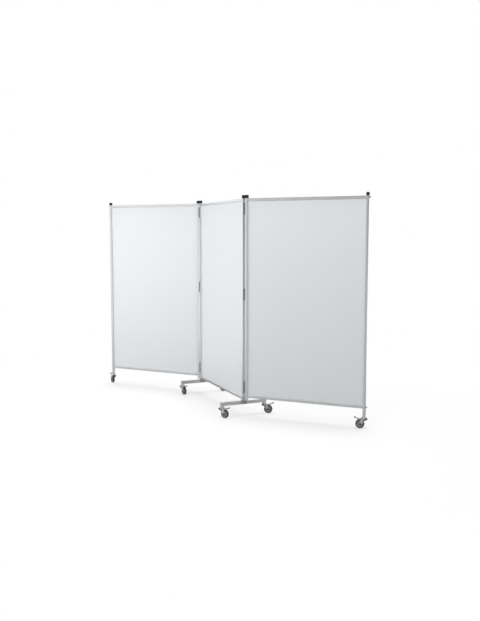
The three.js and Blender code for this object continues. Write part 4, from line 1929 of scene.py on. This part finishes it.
@dataclass
class Screen:
    """The whole screen, placed by the frame's joints."""

    right_angle: float = 43.3
    left_angle: float = 41.2
    pin_along: float = 15 * MM
    pin_beside: float = 15 * MM
    hinge_post_underside: float = 128.5 * MM
    outer_post_underside: float = 95 * MM
    foot_post_underside: float = 127.8 * MM
    middle_rail_underside: float = 132 * MM
    foot_stem: float = 24 * MM
    wing_stem: float = 32 * MM

    def __post_init__(self) -> None:
        """Reads the joints' places."""
        self.joints = {joint["name"]: joint for joint in frame["joints"]}
        right = self.joints["right_wing_fold"]["pos_m"]
        left = self.joints["left_wing_fold"]["pos_m"]
        self.right_pin = Place(right[0], right[1], self.right_angle)
        self.left_pin = Place(left[0], left[1], 180 + self.left_angle)
        self.middle = Place((right[0] + left[0]) / 2, (right[1] + left[1]) / 2, 0)

    def panels(self) -> list[PanelFrame]:
        """The three panels.

        Returns:
            The middle one, then the right and the left wing.
        """
        on_foot = (self.foot_post_underside, self.foot_post_underside)
        on_wing = (self.hinge_post_underside, self.outer_post_underside)
        middle = PanelFrame(
            "middle", "middle", self.middle, on_foot, (True, True), rail_underside=self.middle_rail_underside
        )
        along = self.pin_along + middle.pitch / 2
        right = self.right_pin.beyond(along, -self.pin_beside)
        left = self.left_pin.beyond(along, -self.pin_beside)
        return [
            middle,
            PanelFrame("right_wing", "right_wing", right, on_wing, (True, False)),
            PanelFrame("left_wing", "left_wing", left, on_wing, (True, False)),
        ]

    def caster_place(self, name: str) -> Place:
        """Where a caster stands and which way its wheel trails.

        Args:
            name: the start of its joints' names.

        Returns:
            The place of its stem.
        """
        stem = self.joints[f"{name}_swivel"]["pos_m"]
        axle = self.joints[f"{name}_roll"]["axis"]
        return Place(stem[0], stem[1], math.degrees(math.atan2(-axle[0], axle[1])))

    def build(self) -> None:
        """Builds every sub-assembly."""
        for panel in self.panels():
            panel.build()
        hinge = Hinge()
        right_middle = Place(self.right_pin.x, self.right_pin.y, 0)
        left_middle = Place(self.left_pin.x, self.left_pin.y, 180)
        hinge.build("middle_right", "middle", right_middle, Side.LEFT, True)
        hinge.build("middle_left", "middle", left_middle, Side.LEFT, True)
        hinge.build("right_wing", "right_wing", self.right_pin, Side.RIGHT, False)
        hinge.build("left_wing", "left_wing", self.left_pin, Side.RIGHT, False)
        half = PanelFrame.pitch / 2
        Foot("right_foot", self.middle.beyond(half, 0)).build()
        Foot("left_foot", self.middle.beyond(-half, 0)).build()
        caster = Caster()
        for name in ("right_foot_front", "right_foot_rear", "left_foot_front", "left_foot_rear"):
            label = f"{name}_caster"
            caster.build(label, "middle", self.caster_place(label), self.foot_stem)
        for name in ("right_wing", "left_wing"):
            label = f"{name}_caster"
            caster.build(label, name, self.caster_place(label), self.wing_stem)


def main() -> None:
    """Builds the screen and its studio."""
    logging.basicConfig(level=logging.INFO, format="%(message)s")
    screen = Screen()
    Studio(screen.middle).build()
    screen.build()


if __name__ == "__main__":
    main()
